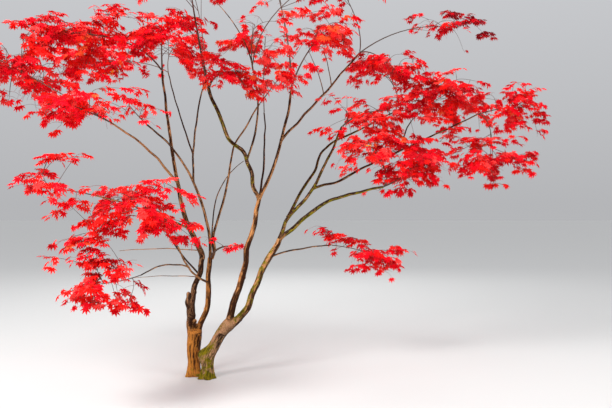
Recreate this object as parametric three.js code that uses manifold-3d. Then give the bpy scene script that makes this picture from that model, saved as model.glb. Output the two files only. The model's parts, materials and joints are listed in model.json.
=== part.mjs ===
// A Japanese maple in autumn leaf, as a three.js scene graph: two stems from one root,
// arching boughs, and loose tiers of red foliage at their tips.
// Millimetres, Z up. X runs to the right and Y away from the viewer.
// The origin is at the middle of the flat cut under the trunk, at ground level.

import * as THREE from 'three';
import { mergeVertices } from 'three/addons/utils/BufferGeometryUtils.js';
import Module from 'manifold-3d';

const wasm = await Module();
wasm.setup();
const { Manifold, Mesh: SolidMesh } = wasm;

// Wood
const clearance = 0.3; // left between two solids that meet
const buriedLength = 60; // a stem is drawn this far below the ground and cut there
const stemSides = 14;
const stemStep = 48; // along a stem, from ring to ring
const boughSides = 6;
const boughStep = 200; // along a bough, from ring to ring
const crook = 0.3; // how far a bough wanders, as a share of its thickness
const stemCrook = 0.05;
const collar = 0.22; // how much a limb swells where it leaves its parent
const ribDepth = 0.25; // of a flare, how far its ribs rise and sink about its mean

// Foliage
const sprayShare = 0.66; // each leaf blade, of the mean half size of its mass, stands for a spray
const sprayWidth = 0.95; // of its length
const sprayThickness = 0.03; // of its length
const sprayRoot = 3; // sunk past the middle of the twig
const sprayPlaces = [[0.1, -1], [0.4, 1], [0.7, -1], [1, 0]]; // share of the twig, and side
const sprayTurn = [62, 82]; // degrees, the least and the most from the twig to a side spray
const sprayDroop = [64, 10]; // degrees below level, in the lowest tier and the highest
const sprayRoll = 40; // degrees, the spread either way about its own length
const stemRadius = [0.78, 8]; // of a mass's stem, at its root, of its bough's thickness, and at its tip
const twigRadius = [7, 5];
const twigHeights = [-0.92, 0.84]; // of a mass's half height, where its lowest and highest sprays end
const twigStart = 0.72; // of the way from a mass's middle to its near side, to its first twig's root
const twigReach = 0.94; // of the way from its middle to its boundary, to the tip of a twig's last spray
const twigRise = 0.1; // how far out of the boundary, at least, a mass's stem starts for its first twig
const stemReach = 0.42; // of the way from a mass's middle to its far side
const stemOffset = 0.3; // of a bough's thickness, from the middle of its tip to the foot of a mass's stem
const stemBow = 0.14; // how strongly a mass's stem keeps its bough's heading
const stemPieces = 4;
const leastGap = 1; // from a twig or a spray to anything else
const spaceLimit = 1.06; // a spray's tip may pass its space by this much
const goldenTurn = Math.PI * (3 - Math.sqrt(5));

const palette = {
  bark: { color: 0x6f4a35, roughness: 0.85, metalness: 0 },
  crimson: { color: 0xd8102c, roughness: 0.55, metalness: 0 },
};

// Each stem or bough is one limb: the limb that it leaves and where along it, the place of its
// tip, how far its middle stands off the straight line, and its thickness at foot and tip.
const limbs = [
  { name: 'trunk', foot: [8, 0], tip: [219, 20, 497], bow: [-54, 0, 30], thick: 92, thin: 102,
    flare: { spread: 44, height: 62, ribs: 5, toward: 2.48 }, burl: { side: 3.3, height: 188,
    half: 52, bulge: 56 } },
  { name: 'left_stem', foot: [-122, 104], tip: [-119, 112, 424], bow: [5, 0, 0], thick: 92, thin: 134,
    flare: { spread: 52, height: 62, ribs: 4, toward: -0.66 } },
  { name: 'left_bough', from: 'left_stem', at: 0.9, tip: [-45, 180, 1075], bow: [-72, 0, -20], thick: 60,
    thin: 46 },
  { name: 'left_leader', from: 'left_bough', at: 0.98, tip: [-360, -250, 2724], bow: [-75, 0, 0],
    thick: 42, thin: 19 },
  { name: 'fork_bough', from: 'left_stem', at: 0.9, tip: [12, 200, 1070], bow: [52, 0, -30], thick: 56,
    thin: 34 },
  { name: 'inner_left_bough', from: 'fork_bough', at: 0.98, tip: [-436, -450, 2234], bow: [135, 0, 95],
    thick: 30, thin: 14 },
  { name: 'upright_bough', from: 'inner_left_bough', at: 0.52, tip: [-18, 0, 2646], bow: [-35, 0, 0],
    thick: 19, thin: 12 },
  { name: 'back_left_bough', from: 'upright_bough', at: 0.28, tip: [-462, 600, 2869], bow: [-20, 0, 20],
    thick: 15, thin: 11 },
  { name: 'slender_bough', from: 'fork_bough', at: 0.98, tip: [507, -50, 2468], bow: [-105, 0, 0],
    thick: 25, thin: 13 },
  { name: 'outer_left_bough', from: 'left_leader', at: 0.42, tip: [-623, -850, 2203], bow: [0, 0, 55],
    thick: 23, thin: 14 },
  { name: 'low_left_bough', from: 'fork_bough', at: 0.7, tip: [-132, -650, 1228], bow: [-20, 0, -55],
    thick: 21, thin: 13 },
  { name: 'weeping_bough', from: 'low_left_bough', at: 0.62, tip: [-353, -1000, 1025], bow: [0, 0, 50],
    thick: 13, thin: 10 },
  { name: 'far_left_bough', from: 'left_leader', at: 0.16, tip: [-793, -750, 1640], bow: [0, 0, 30],
    thick: 18, thin: 11 },
  { name: 'back_low_left_bough', from: 'left_bough', at: 0.8, tip: [-700, 720, 1590], bow: [0, 0, -40],
    thick: 18, thin: 11 },
  { name: 'centre_bough', from: 'trunk', at: 0.9, tip: [477, 60, 1620], bow: [18, 0, 0], thick: 68,
    thin: 37 },
  { name: 'mossy_bough', from: 'centre_bough', at: 0.98, tip: [48, -150, 2593], bow: [-15, 0, 10],
    thick: 36, thin: 23 },
  { name: 'tall_bough', from: 'mossy_bough', at: 0.36, tip: [424, -120, 2783], bow: [75, 0, 0],
    thick: 20, thin: 13 },
  { name: 'leader', from: 'centre_bough', at: 0.98, tip: [773, 70, 2658], bow: [45, 0, 0], thick: 35,
    thin: 21 },
  { name: 'long_right_bough', from: 'leader', at: 0.52, tip: [1433, 600, 3066], bow: [10, 0, 0],
    thick: 26, thin: 15 },
  { name: 'back_bough', from: 'centre_bough', at: 0.72, tip: [461, 1000, 2527], bow: [50, 0, 30],
    thick: 25, thin: 14 },
  { name: 'right_bough', from: 'trunk', at: 0.93, tip: [655, 40, 1258], bow: [32, 0, -28], thick: 66,
    thin: 45 },
  { name: 'low_right_bough', from: 'right_bough', at: 0.98, tip: [1602, 0, 1719], bow: [0, 0, 95],
    thick: 42, thin: 21 },
  { name: 'upper_right_bough', from: 'right_bough', at: 0.98, tip: [1232, 150, 2285], bow: [50, 0, 0],
    thick: 38, thin: 18 },
  { name: 'right_tip_bough', from: 'upper_right_bough', at: 0.45, tip: [2548, 400, 2428],
    bow: [0, 0, -15], thick: 24, thin: 13 },
  { name: 'right_centre_bough', from: 'right_tip_bough', at: 0.5, tip: [1923, 450, 2377],
    bow: [0, 0, 20], thick: 15, thin: 11 },
  { name: 'parallel_bough', from: 'upper_right_bough', at: 0.2, tip: [1830, 1000, 2527],
    bow: [-60, 0, 100], thick: 27, thin: 14 },
  { name: 'low_spray_bough', from: 'right_bough', at: 0.8, tip: [1149, 400, 1173], bow: [0, 0, 25],
    thick: 18, thin: 11 },
];

// Each mass of foliage has one stem, from its bough's tip, and a space of its own: an
// ellipsoid of these half sizes about its middle, which drop turns downhill along X and Y.
const masses = [
  { name: 'outer_left_foliage', bough: 'outer_left_bough', middle: [-1460, -700, 2670],
    half: [500, 520, 345], drop: [-0.12, 0], twigs: 6 },
  { name: 'upper_left_low_foliage', bough: 'outer_left_bough', middle: [-850, -1000, 2300],
    half: [340, 380, 220], drop: [0, 0], twigs: 4 },
  { name: 'upper_left_foliage', bough: 'left_leader', middle: [-1010, -560, 2920], half: [380, 450, 265],
    drop: [-0.1, 0], twigs: 5 },
  { name: 'upper_left_inner_foliage', bough: 'left_leader', middle: [-290, -500, 2955],
    half: [430, 450, 230], drop: [0, 0], twigs: 5 },
  { name: 'inner_left_spray', bough: 'inner_left_bough', middle: [-530, -500, 2345],
    half: [175, 190, 85], drop: [0, 0], twigs: 2 },
  { name: 'left_mid_foliage', bough: 'low_left_bough', middle: [-310, -1150, 1500],
    half: [460, 430, 240], drop: [-0.24, 0], twigs: 6 },
  { name: 'left_weeping_foliage', bough: 'weeping_bough', middle: [-570, -1210, 1000],
    half: [310, 330, 265], drop: [0.15, 0], twigs: 4 },
  { name: 'far_left_foliage', bough: 'far_left_bough', middle: [-1060, -960, 1690],
    half: [310, 300, 170], drop: [0.45, 0], twigs: 4 },
  { name: 'back_low_left_foliage', bough: 'back_low_left_bough', middle: [-980, 930, 1590],
    half: [420, 430, 220], drop: [-0.1, 0.1], twigs: 5 },
  { name: 'fork_spray', bough: 'fork_bough', middle: [230, 20, 1175], half: [120, 130, 75],
    drop: [0.25, 0], twigs: 2 },
  { name: 'centre_low_foliage', bough: 'mossy_bough', middle: [205, -270, 2670], half: [320, 330, 165],
    drop: [0.26, 0], twigs: 3 },
  { name: 'centre_foliage', bough: 'tall_bough', middle: [440, -80, 3090], half: [380, 430, 175],
    drop: [0.1, 0], twigs: 5 },
  { name: 'centre_middle_foliage', bough: 'slender_bough', middle: [640, -60, 2660],
    half: [320, 310, 150], drop: [0.15, 0], twigs: 4 },
  { name: 'centre_right_foliage', bough: 'leader', middle: [1050, 220, 3120], half: [360, 420, 235],
    drop: [0.1, 0], twigs: 5 },
  { name: 'top_left_foliage', bough: 'upright_bough', middle: [-180, 60, 3600], half: [480, 520, 240],
    drop: [-0.15, 0], twigs: 5 },
  { name: 'top_centre_foliage', bough: 'leader', middle: [480, 120, 3900], half: [560, 560, 270],
    drop: [0, 0], twigs: 6 },
  { name: 'top_right_foliage', bough: 'long_right_bough', middle: [1180, 300, 3620],
    half: [480, 520, 230], drop: [0.15, 0], twigs: 5 },
  { name: 'right_upper_foliage', bough: 'long_right_bough', middle: [1690, 480, 2895],
    half: [380, 400, 165], drop: [0.1, 0], twigs: 4 },
  { name: 'far_right_back_foliage', bough: 'long_right_bough', middle: [2500, 1450, 3500],
    half: [480, 420, 210], drop: [0.2, 0], twigs: 4 },
  { name: 'right_centre_foliage', bough: 'right_centre_bough', middle: [2230, 480, 2600],
    half: [460, 480, 300], drop: [0.12, 0], twigs: 6 },
  { name: 'right_inner_upper_foliage', bough: 'upper_right_bough', middle: [1530, 180, 2390],
    half: [370, 340, 215], drop: [0, 0], twigs: 3 },
  { name: 'right_inner_low_foliage', bough: 'low_right_bough', middle: [1480, -60, 2040],
    half: [290, 300, 180], drop: [-0.15, 0], twigs: 3 },
  { name: 'right_low_foliage', bough: 'low_right_bough', middle: [1880, 80, 1955], half: [345, 400, 290],
    drop: [0, 0], twigs: 5 },
  { name: 'right_tip_foliage', bough: 'right_tip_bough', middle: [2890, 400, 2475],
    half: [360, 430, 310], drop: [0.15, 0], twigs: 5 },
  { name: 'right_low_outer_foliage', bough: 'right_tip_bough', middle: [2590, 160, 1960],
    half: [410, 400, 215], drop: [0.1, 0], twigs: 5 },
  { name: 'low_spray_foliage', bough: 'low_spray_bough', middle: [1460, 480, 1090],
    half: [450, 320, 180], drop: [0.34, 0], twigs: 5 },
  { name: 'back_centre_foliage', bough: 'back_bough', middle: [450, 1450, 3330], half: [560, 520, 280],
    drop: [0, 0.15], twigs: 6 },
  { name: 'back_left_foliage', bough: 'back_left_bough', middle: [-520, 1150, 3180],
    half: [500, 500, 260], drop: [-0.1, 0.1], twigs: 5 },
  { name: 'back_outer_left_foliage', bough: 'back_left_bough', middle: [-1280, 520, 2900],
    half: [460, 480, 250], drop: [-0.2, 0], twigs: 5 },
  { name: 'back_right_foliage', bough: 'parallel_bough', middle: [1720, 1520, 3080],
    half: [450, 480, 240], drop: [0, 0.1], twigs: 5 },
  { name: 'back_outer_right_foliage', bough: 'parallel_bough', middle: [2640, 1350, 2600],
    half: [460, 480, 250], drop: [0.15, 0.1], twigs: 5 },
  { name: 'front_left_foliage', bough: 'mossy_bough', middle: [40, -1130, 3240], half: [520, 440, 230],
    drop: [-0.05, -0.1], twigs: 5 },
  { name: 'front_right_foliage', bough: 'tall_bough', middle: [1180, -1060, 3270], half: [520, 440, 220],
    drop: [0.1, -0.1], twigs: 5 },
];

// Evenly spread numbers from 0 to 1, the same ones each time for a seed.
const randomStart = 7919;
const randomStep = 16807;
const randomRange = 2147483647;

function seeded(seed) {
  let state = seed * randomStart;
  return () => {
    state = (state * randomStep) % randomRange;
    return state / randomRange;
  };
}

const { clamp, degToRad: radians } = THREE.MathUtils;
const mix = (from, to, share) => from + (to - from) * share;
const vector = (list) => new THREE.Vector3(...list);
const up = new THREE.Vector3(0, 0, 1);

// Turns a closed three.js geometry into a solid, with the vertices that it shares merged.
function solidFrom(geometry) {
  geometry.deleteAttribute('normal');
  geometry.deleteAttribute('uv');
  const merged = mergeVertices(geometry, 1e-4);
  return new Manifold(new SolidMesh({
    numProp: 3,
    vertProperties: merged.getAttribute('position').array,
    triVerts: new Uint32Array(merged.index.array),
  }));
}

// A path is a list of points: bowed off the straight line from start to end, with a slight
// crook if one is asked for.
function bowedPath(start, end, bow, pieces, wander = 0, phase = 0) {
  const pull = start.clone().lerp(end, 0.5).addScaledVector(bow, 2);
  const curve = new THREE.QuadraticBezierCurve3(start, pull, end);
  return curve.getPoints(pieces).map((point, i) => {
    const sway = wander * Math.sin((Math.PI * i) / pieces);
    const turn = 2 * Math.PI * ((2 * i) / pieces + phase);
    return point.add(new THREE.Vector3(sway * Math.sin(turn), sway * Math.cos(turn), 0));
  });
}

function placeOn(path, share) {
  const place = clamp(share, 0, 1) * (path.length - 1);
  const before = Math.min(Math.floor(place), path.length - 2);
  return path[before].clone().lerp(path[before + 1], place - before);
}

function headingAt(path, index) {
  const before = path[Math.max(0, index - 1)];
  const after = path[Math.min(path.length - 1, index + 1)];
  return after.clone().sub(before).normalize();
}

const lengthOf = (path) => path.slice(1).reduce((sum, point, i) => sum + point.distanceTo(path[i]), 0);

// A solid along a path: a closed cylinder whose rings are moved onto the path's points. Grown
// is how much it is thickened on all sides, to cut its neighbours clear of it.
function tube(path, sides, radiusAt, grown = 0) {
  const last = path.length - 1;
  const geometry = new THREE.CylinderGeometry(1, 1, 1, sides, last);
  let across = new THREE.Vector3(0, -1, 0);
  const frames = path.map((point, i) => {
    const heading = headingAt(path, i);
    const past = (Number(i === last) - Number(i === 0)) * grown;
    across = across.clone().addScaledVector(heading, -across.dot(heading)).normalize();
    const centre = point.clone().addScaledVector(heading, past);
    return { centre, across, aside: across.clone().cross(heading) };
  });
  const position = geometry.getAttribute('position');
  for (let i = 0; i < position.count; i += 1) {
    const ring = Math.round((position.getY(i) + 0.5) * last);
    const { centre, across: x, aside: z } = frames[ring];
    const direction = x.clone().multiplyScalar(position.getX(i)).addScaledVector(z, position.getZ(i));
    const radius = radiusAt(ring / last, centre, direction) + grown;
    position.setXYZ(i, ...centre.clone().addScaledVector(direction, radius));
  }
  return solidFrom(geometry);
}

const larger = (one, other) => (other.volume() > one.volume() ? other : one);
const largest = (solid) => solid.decompose().reduce(larger);

// What is left of a solid, in one piece, clear of its neighbours.
function cutClear(solid, others) {
  return largest(others.reduce((rest, other) => rest.subtract(other.grown), solid));
}

// The path of a limb, from the ground or from inside its parent.
function limbPath(limb, index, parent) {
  const start = parent ? placeOn(parent.path, limb.at) : vector([...limb.foot, -buriedLength]);
  const end = vector(limb.tip);
  const pieces = Math.max(4, Math.round(start.distanceTo(end) / (parent ? boughStep : stemStep)));
  const wander = limb.thick * (parent ? crook : stemCrook);
  return bowedPath(start, end, vector(limb.bow), pieces, wander, (index * goldenTurn) % 1);
}

// The radius of a limb: the collar where it leaves its parent, the ribbed flare of a stem that
// stands in the ground, and the mossy burl low on the trunk.
function limbRadius(limb, path) {
  const length = lengthOf(path);
  return (share, centre, direction) => {
    let radius = mix(limb.thick, limb.thin, share) / 2;
    if (limb.from) radius *= 1 + collar * Math.exp((-share * length) / limb.thick);
    const angle = Math.atan2(direction.y, direction.x);
    if (limb.flare) {
      const { spread, height, ribs, toward } = limb.flare;
      const rib = 1 - ribDepth + ribDepth * Math.cos(ribs * (angle - toward));
      radius += spread * rib * Math.exp(-Math.max(0, centre.z) / height);
    }
    if (limb.burl) {
      const { side, height, half, bulge } = limb.burl;
      const facing = Math.max(0, Math.cos(angle - side));
      radius += bulge * facing ** 2 * Math.exp(-(((centre.z - height) / half) ** 2));
    }
    return radius;
  };
}

// Every limb, cut clear of its parent and of the limbs that leave the same parent before it.
function makeLimbs() {
  const made = new Map();
  limbs.forEach((limb, index) => {
    const parent = made.get(limb.from);
    const path = limbPath(limb, index, parent);
    const shape = (grown) => tube(path, parent ? boughSides : stemSides, limbRadius(limb, path), grown);
    const kin = [...made.values()].filter((other) => other === parent || other.limb.from === limb.from);
    const whole = parent ? shape(0) : shape(0).trimByPlane([0, 0, 1], 0);
    made.set(limb.name, { limb, path, solid: cutClear(whole, kin), grown: shape(clearance) });
  });
  return made;
}

// How far out a point lies in a mass's space: 0 in the middle and 1 on its boundary.
function shareOut({ middle, half, drop }, point) {
  const [x, y] = [point.x - middle[0], point.y - middle[1]];
  const z = point.z - middle[2] + drop[0] * x + drop[1] * y;
  return Math.hypot(x / half[0], y / half[1], z / half[2]);
}

// The places on the boundary that the twigs point to, in even tiers and by golden turns, each
// with its level from 0 in the lowest tier to 1 in the highest.
function twigAims({ middle, half, drop, twigs }) {
  return Array.from({ length: twigs }, (_, index) => {
    const level = 1 - (index + 0.5) / twigs;
    const height = mix(...twigHeights, level);
    const ring = Math.sqrt(1 - height * height);
    const x = twigReach * half[0] * ring * Math.cos(index * goldenTurn);
    const y = twigReach * half[1] * ring * Math.sin(index * goldenTurn);
    const z = twigReach * half[2] * height - drop[0] * x - drop[1] * y;
    return { level, point: vector(middle).add(new THREE.Vector3(x, y, z)) };
  });
}

// The stem of a mass, from the side of its bough's tip that faces the mass, on through the
// mass's middle.
function stemPath(mass, bough) {
  const tip = bough.path.length - 1;
  const heading = headingAt(bough.path, tip);
  const middle = vector(mass.middle);
  const onward = middle.clone().sub(bough.path[tip]);
  const aside = onward.clone().addScaledVector(heading, -onward.dot(heading)).normalize();
  const start = bough.path[tip].clone().addScaledVector(aside, bough.limb.thin * stemOffset);
  const reach = stemReach / shareOut(mass, middle.clone().add(onward));
  const end = middle.clone().addScaledVector(onward, reach);
  const lead = heading.multiplyScalar(start.distanceTo(end)).sub(end).add(start);
  return bowedPath(start, end, lead.multiplyScalar(stemBow), stemPieces);
}

// The direction of a spray: outward from one place to another, and down by its droop.
function hang(from, to, droop) {
  const ahead = to.clone().sub(from).setZ(0).normalize();
  return ahead.multiplyScalar(Math.cos(radians(droop))).addScaledVector(up, -Math.sin(radians(droop)));
}

// The twigs of a mass leave its stem one after another, in the order in which the stem passes
// their aims, and each ends where its last spray, hanging outward, just reaches its aim.
function twigsOf(mass, stem, sprayLength) {
  const chord = stem[stem.length - 1].clone().sub(stem[0]);
  const aims = twigAims(mass).sort((a, b) => a.point.dot(chord) - b.point.dot(chord));
  const entry = shareOut(mass, stem[0]);
  const first = Math.max(entry - twigStart, twigRise) / (entry + stemReach);
  return aims.map(({ level, point }, index) => {
    const base = placeOn(stem, mix(first, 1, index / (aims.length - 1)));
    const axis = hang(base, point, mix(...sprayDroop, level));
    return { axis, path: [base, point.addScaledVector(axis, -sprayLength)] };
  });
}

// A flat blade of four faces, ridged along its length, whose root is sunk past the twig.
function spray(twig, place, side, length, random) {
  const axis = twig.axis.clone().applyAxisAngle(up, radians(side * mix(...sprayTurn, random())));
  const roll = radians(sprayRoll * (2 * random() - 1));
  const across = up.clone().cross(axis).normalize().applyAxisAngle(axis, roll);
  const blade = new THREE.TetrahedronGeometry(Math.sqrt(3)).rotateZ(-Math.PI / 4);
  const corner = length / Math.SQRT2 / 2;
  blade.scale(corner, corner * sprayWidth, (length * sprayThickness) / 2);
  const middle = placeOn(twig.path, place).addScaledVector(axis, length / 2 - sprayRoot);
  const turned = new THREE.Matrix4().makeBasis(axis, across, axis.clone().cross(across));
  blade.applyMatrix4(turned.setPosition(middle));
  return { solid: solidFrom(blade), tip: middle.addScaledVector(axis, length / 2) };
}

const obstacle = (solid) => ({ solid, box: solid.boundingBox() });
const boxesMeet = (a, b) => [0, 1, 2].every((k) => a.min[k] <= b.max[k] && b.min[k] <= a.max[k]);

// True if a solid comes too near any of the obstacles.
function touches(solid, obstacles) {
  const box = solid.boundingBox();
  const near = obstacles.filter((other) => boxesMeet(box, other.box));
  return near.some((other) => solid.minGap(other.solid, leastGap) < leastGap);
}

// The stems of all masses come before any twig, so that twigs and sprays can keep clear of them.
function makeStems(made) {
  const stems = [];
  for (const mass of masses) {
    const bough = made.get(mass.bough);
    const path = stemPath(mass, bough);
    const radiusAt = (share) => mix(bough.limb.thin * stemRadius[0], stemRadius[1], share);
    const shape = (grown) => tube(path, 3, radiusAt, grown);
    const sisters = stems.filter((other) => other.mass.bough === mass.bough);
    const kin = [...made.values()].filter((other) => other === bough || other.limb.from === mass.bough);
    stems.push({ mass, path, solid: cutClear(shape(0), [...kin, ...sisters]), grown: shape(clearance) });
  }
  return stems;
}

// A mass as one solid: its stem, its twigs, and the sprays on them that keep to its space
// and touch nothing else.
function makeMass({ mass, path, solid: stem }, index, others) {
  const random = seeded(index + 1);
  const length = sprayShare * Math.cbrt(mass.half[0] * mass.half[1] * mass.half[2]);
  const twigs = twigsOf(mass, path, length);
  const wood = twigs.map((twig) => tube(twig.path, 3, (share) => mix(...twigRadius, share)));
  const kept = wood.filter((solid) => !touches(solid, others));
  const blades = [];
  twigs.forEach((twig, k) => {
    const clearOf = others.concat(kept.filter((solid) => solid !== wood[k]).map(obstacle));
    for (const [place, side] of sprayPlaces) {
      const { solid, tip } = spray(twig, place, k % 2 ? side : -side, length, random);
      const fits = kept.includes(wood[k]) && shareOut(mass, tip) < spaceLimit;
      if (fits && !touches(solid, clearOf.concat(blades))) blades.push(obstacle(solid));
    }
  });
  return largest(Manifold.union([stem, ...kept, ...blades.map(({ solid }) => solid)]));
}

function meshOf(solid, name, material) {
  const { vertProperties, triVerts } = solid.getMesh();
  const geometry = new THREE.BufferGeometry();
  geometry.setAttribute('position', new THREE.BufferAttribute(vertProperties, 3));
  geometry.setIndex(new THREE.BufferAttribute(triVerts, 1));
  geometry.computeVertexNormals();
  const mesh = new THREE.Mesh(geometry, material);
  mesh.name = name;
  return mesh;
}

function buildTree() {
  const tree = new THREE.Group();
  const bark = new THREE.MeshStandardMaterial(palette.bark);
  const crimson = new THREE.MeshStandardMaterial(palette.crimson);
  const made = makeLimbs();
  const stems = makeStems(made);
  const wood = [...made.values()];
  for (const { limb, solid } of wood) tree.add(meshOf(solid, limb.name, bark));
  const grown = [];
  stems.forEach((stem, index) => {
    const others = [...wood, ...stems.filter((other) => other !== stem)];
    const solid = makeMass(stem, index, others.map((each) => obstacle(each.solid)).concat(grown));
    grown.push(obstacle(solid));
    tree.add(meshOf(solid, stem.mass.name, crimson));
  });
  return tree;
}

export default buildTree();
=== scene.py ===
# A Japanese maple in autumn leaf: bark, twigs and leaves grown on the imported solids.
# Metres, Z up. X runs to the right and Y away from the viewer.
import json
import math

import bmesh
import bpy
import numpy as np
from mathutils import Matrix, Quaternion, Vector, noise

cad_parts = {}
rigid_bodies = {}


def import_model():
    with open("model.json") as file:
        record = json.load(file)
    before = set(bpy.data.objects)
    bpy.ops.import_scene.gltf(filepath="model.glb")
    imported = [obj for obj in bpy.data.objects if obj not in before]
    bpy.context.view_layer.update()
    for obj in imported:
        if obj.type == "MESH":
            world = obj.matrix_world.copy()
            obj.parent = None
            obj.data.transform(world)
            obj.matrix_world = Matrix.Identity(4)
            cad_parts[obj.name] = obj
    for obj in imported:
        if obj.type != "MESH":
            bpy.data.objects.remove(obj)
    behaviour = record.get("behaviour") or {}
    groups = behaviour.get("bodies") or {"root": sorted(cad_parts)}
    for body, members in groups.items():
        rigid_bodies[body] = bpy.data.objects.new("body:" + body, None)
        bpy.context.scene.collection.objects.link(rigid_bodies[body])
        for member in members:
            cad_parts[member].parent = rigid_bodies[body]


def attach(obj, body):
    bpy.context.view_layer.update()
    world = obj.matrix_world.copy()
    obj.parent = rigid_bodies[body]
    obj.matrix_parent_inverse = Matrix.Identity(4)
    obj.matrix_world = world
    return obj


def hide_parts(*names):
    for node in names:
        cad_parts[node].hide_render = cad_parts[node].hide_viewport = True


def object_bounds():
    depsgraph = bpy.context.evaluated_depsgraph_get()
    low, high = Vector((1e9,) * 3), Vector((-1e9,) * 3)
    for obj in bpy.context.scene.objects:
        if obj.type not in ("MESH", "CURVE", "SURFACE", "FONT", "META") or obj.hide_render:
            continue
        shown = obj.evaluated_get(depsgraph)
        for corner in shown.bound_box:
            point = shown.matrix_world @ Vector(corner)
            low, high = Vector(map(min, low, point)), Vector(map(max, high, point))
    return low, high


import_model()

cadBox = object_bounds()     # before any piece is added
up = Vector((0, 0, 1))
goldenTurn = math.pi * (3 - math.sqrt(5))


def addObject(name, data):
    made = bpy.data.objects.new(name, data)
    bpy.context.scene.collection.objects.link(made)
    return made


# The camera stands where the photographer stood, level, at eye height
cameraView = {
    "place": (0.900, -6.200, 1.566),
    "lens": 40.53,       # millimetres, on a 36 mm sensor
    "sensor": 36.0,
}


def makeCamera(view):
    data = bpy.data.cameras.new("viewpoint")
    data.lens = view["lens"]
    data.sensor_width = view["sensor"]
    camera = addObject("viewpoint", data)
    camera.location = view["place"]
    camera.rotation_euler = (math.radians(90), 0, 0)
    bpy.context.scene.camera = camera


makeCamera(cameraView)


# Small helpers that every piece uses

def mix(first, last, share):
    return first + (last - first) * share


def seeded(seed):        # evenly spread numbers from 0 to 1, the same ones each time for a seed
    state = [seed * 7919]

    def draw():
        state[0] = state[0] * 16807 % 2147483647
        return state[0] / 2147483647
    return draw


def bezier(start, pull, end, share):
    rest = 1 - share
    return start * rest * rest + pull * (2 * rest * share) + end * share * share


def curvePoints(start, pull, end, pieces):
    return [bezier(start, pull, end, i / pieces) for i in range(pieces + 1)]


def placeOn(path, share):
    place = max(0.0, min(1.0, share)) * (len(path) - 1)
    before = min(int(place), len(path) - 2)
    return path[before].lerp(path[before + 1], place - before)


def pathLength(points):
    return sum((b - a).length for a, b in zip(points, points[1:]))


def headings(points):
    last = len(points) - 1
    return [(points[min(i + 1, last)] - points[max(i - 1, 0)]).normalized() for i in range(last + 1)]


def ringFrames(points):
    # The heading and two directions at right angles to it at each point, with no twist between them
    across = Vector((0, -1, 0.01))
    frames = []
    for heading in headings(points):
        across = (across - heading * across.dot(heading)).normalized()
        frames.append((heading, across, across.cross(heading)))
    return frames


def newMesh(name, vertices, faces, materials, materialIndex=None, smooth=False):
    # faces is an array of triangles or of quads
    mesh = bpy.data.meshes.new(name)
    vertices = np.asarray(vertices, np.float32).reshape(-1, 3)
    faces = np.asarray(faces, np.int32)
    corners = faces.shape[1]
    mesh.vertices.add(len(vertices))
    mesh.vertices.foreach_set("co", vertices.ravel())
    mesh.loops.add(faces.size)
    mesh.loops.foreach_set("vertex_index", faces.ravel())
    mesh.polygons.add(len(faces))
    mesh.polygons.foreach_set("loop_start", np.arange(0, faces.size, corners, dtype=np.int32))
    mesh.polygons.foreach_set("use_smooth", np.full(len(faces), smooth))
    for material in materials:
        mesh.materials.append(material)
    if materialIndex is not None:
        mesh.polygons.foreach_set("material_index", np.asarray(materialIndex, np.int32))
    mesh.update(calc_edges=True)
    mesh.validate()
    return addObject(name, mesh)


def latticeNoise(points, scale, seed=0):
    # Smooth noise from 0 to 1 at each point of an array, the same each run
    place = points * scale + seed * 17.31
    cell = np.floor(place).astype(np.int64)
    inside = place - cell
    inside = inside * inside * (3 - 2 * inside)
    value = np.zeros(len(points))
    for corner in np.ndindex(2, 2, 2):
        x, y, z = (cell + corner).T
        mixed = x * 73856093 ^ y * 19349663 ^ z * 83492791
        mixed = (mixed ^ mixed >> 13) * 1274126177 & 0xffffff
        near = np.where(corner, inside, 1 - inside).prod(1)
        value += near * ((mixed ^ mixed >> 11) & 0xffff) / 0xffff
    return value


# Wood: the limbs of the solids, repeated here. A limb leaves its parent at a share of the parent's
# length, and bow is how far its middle lies off the straight line, in x and z. Bends (place, width,
# x, z) and swells (place, width, amount) are at shares of its own length.
# Tone (0 dark, 1 pale), warmth (0 purplish, 1 orange) and moss are given at its foot and its tip.
# An extra limb has no solid: a broken stub fused to its parent, or a leafless twig.

woodShape = {
    "buried": 0.060,         # a stem is drawn this far below the ground and cut there
    "crook": 0.10,           # how far a bough wanders, as a share of its thickness
    "stemCrook": 0.05,
    "collar": 0.35,          # how much a limb swells where it leaves its parent
    "ribDepth": 0.25,        # of the flare, between its ribs
    "ringStep": 0.015,       # along a limb, from one ring of its mesh to the next
    "closing": 0.30,         # of its thickness, over which a limb's tip is drawn in
    "easeFrom": 0.88,        # a limb that leaves beyond this share of its parent goes on from it
    "easeShare": 1.9,        # of its thickness, over which it bends away
    "spreadStart": 0.05,     # over which two limbs of one fork move apart, and then come back
    "spreadLength": 0.20,
    "looksLength": 0.10,     # over which a limb takes on its own looks after its parent's
    "looksStart": 0.35,      # of that length, over which it still has its parent's looks
    "kinkGap": 0.12,         # along a bough, from one slight kink to the next
    "kinkShare": 0.16,       # of its thickness, sideways
    "kinkLeast": 0.0025,
    "stepBack": 0.03,        # the heading of a curve is measured from here on a limb's parent
    "headingStep": 0.02,     # over this share of its length
    "tipFlatness": 0.97,     # how nearly the drawn-in tip closes
}

limbs = []


def newLimb(name, parent, at, tip, bow, thick, thin, tone=(0.3, 0.3), warm=(0.4, 0.4), moss=(0.25, 0.2),
            **more):
    limbs.append(dict(name=name, parent=parent, at=at, tip=tip, bow=bow, thick=thick, thin=thin,
                      tone=tone, warm=warm, moss=moss, **more))


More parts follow.
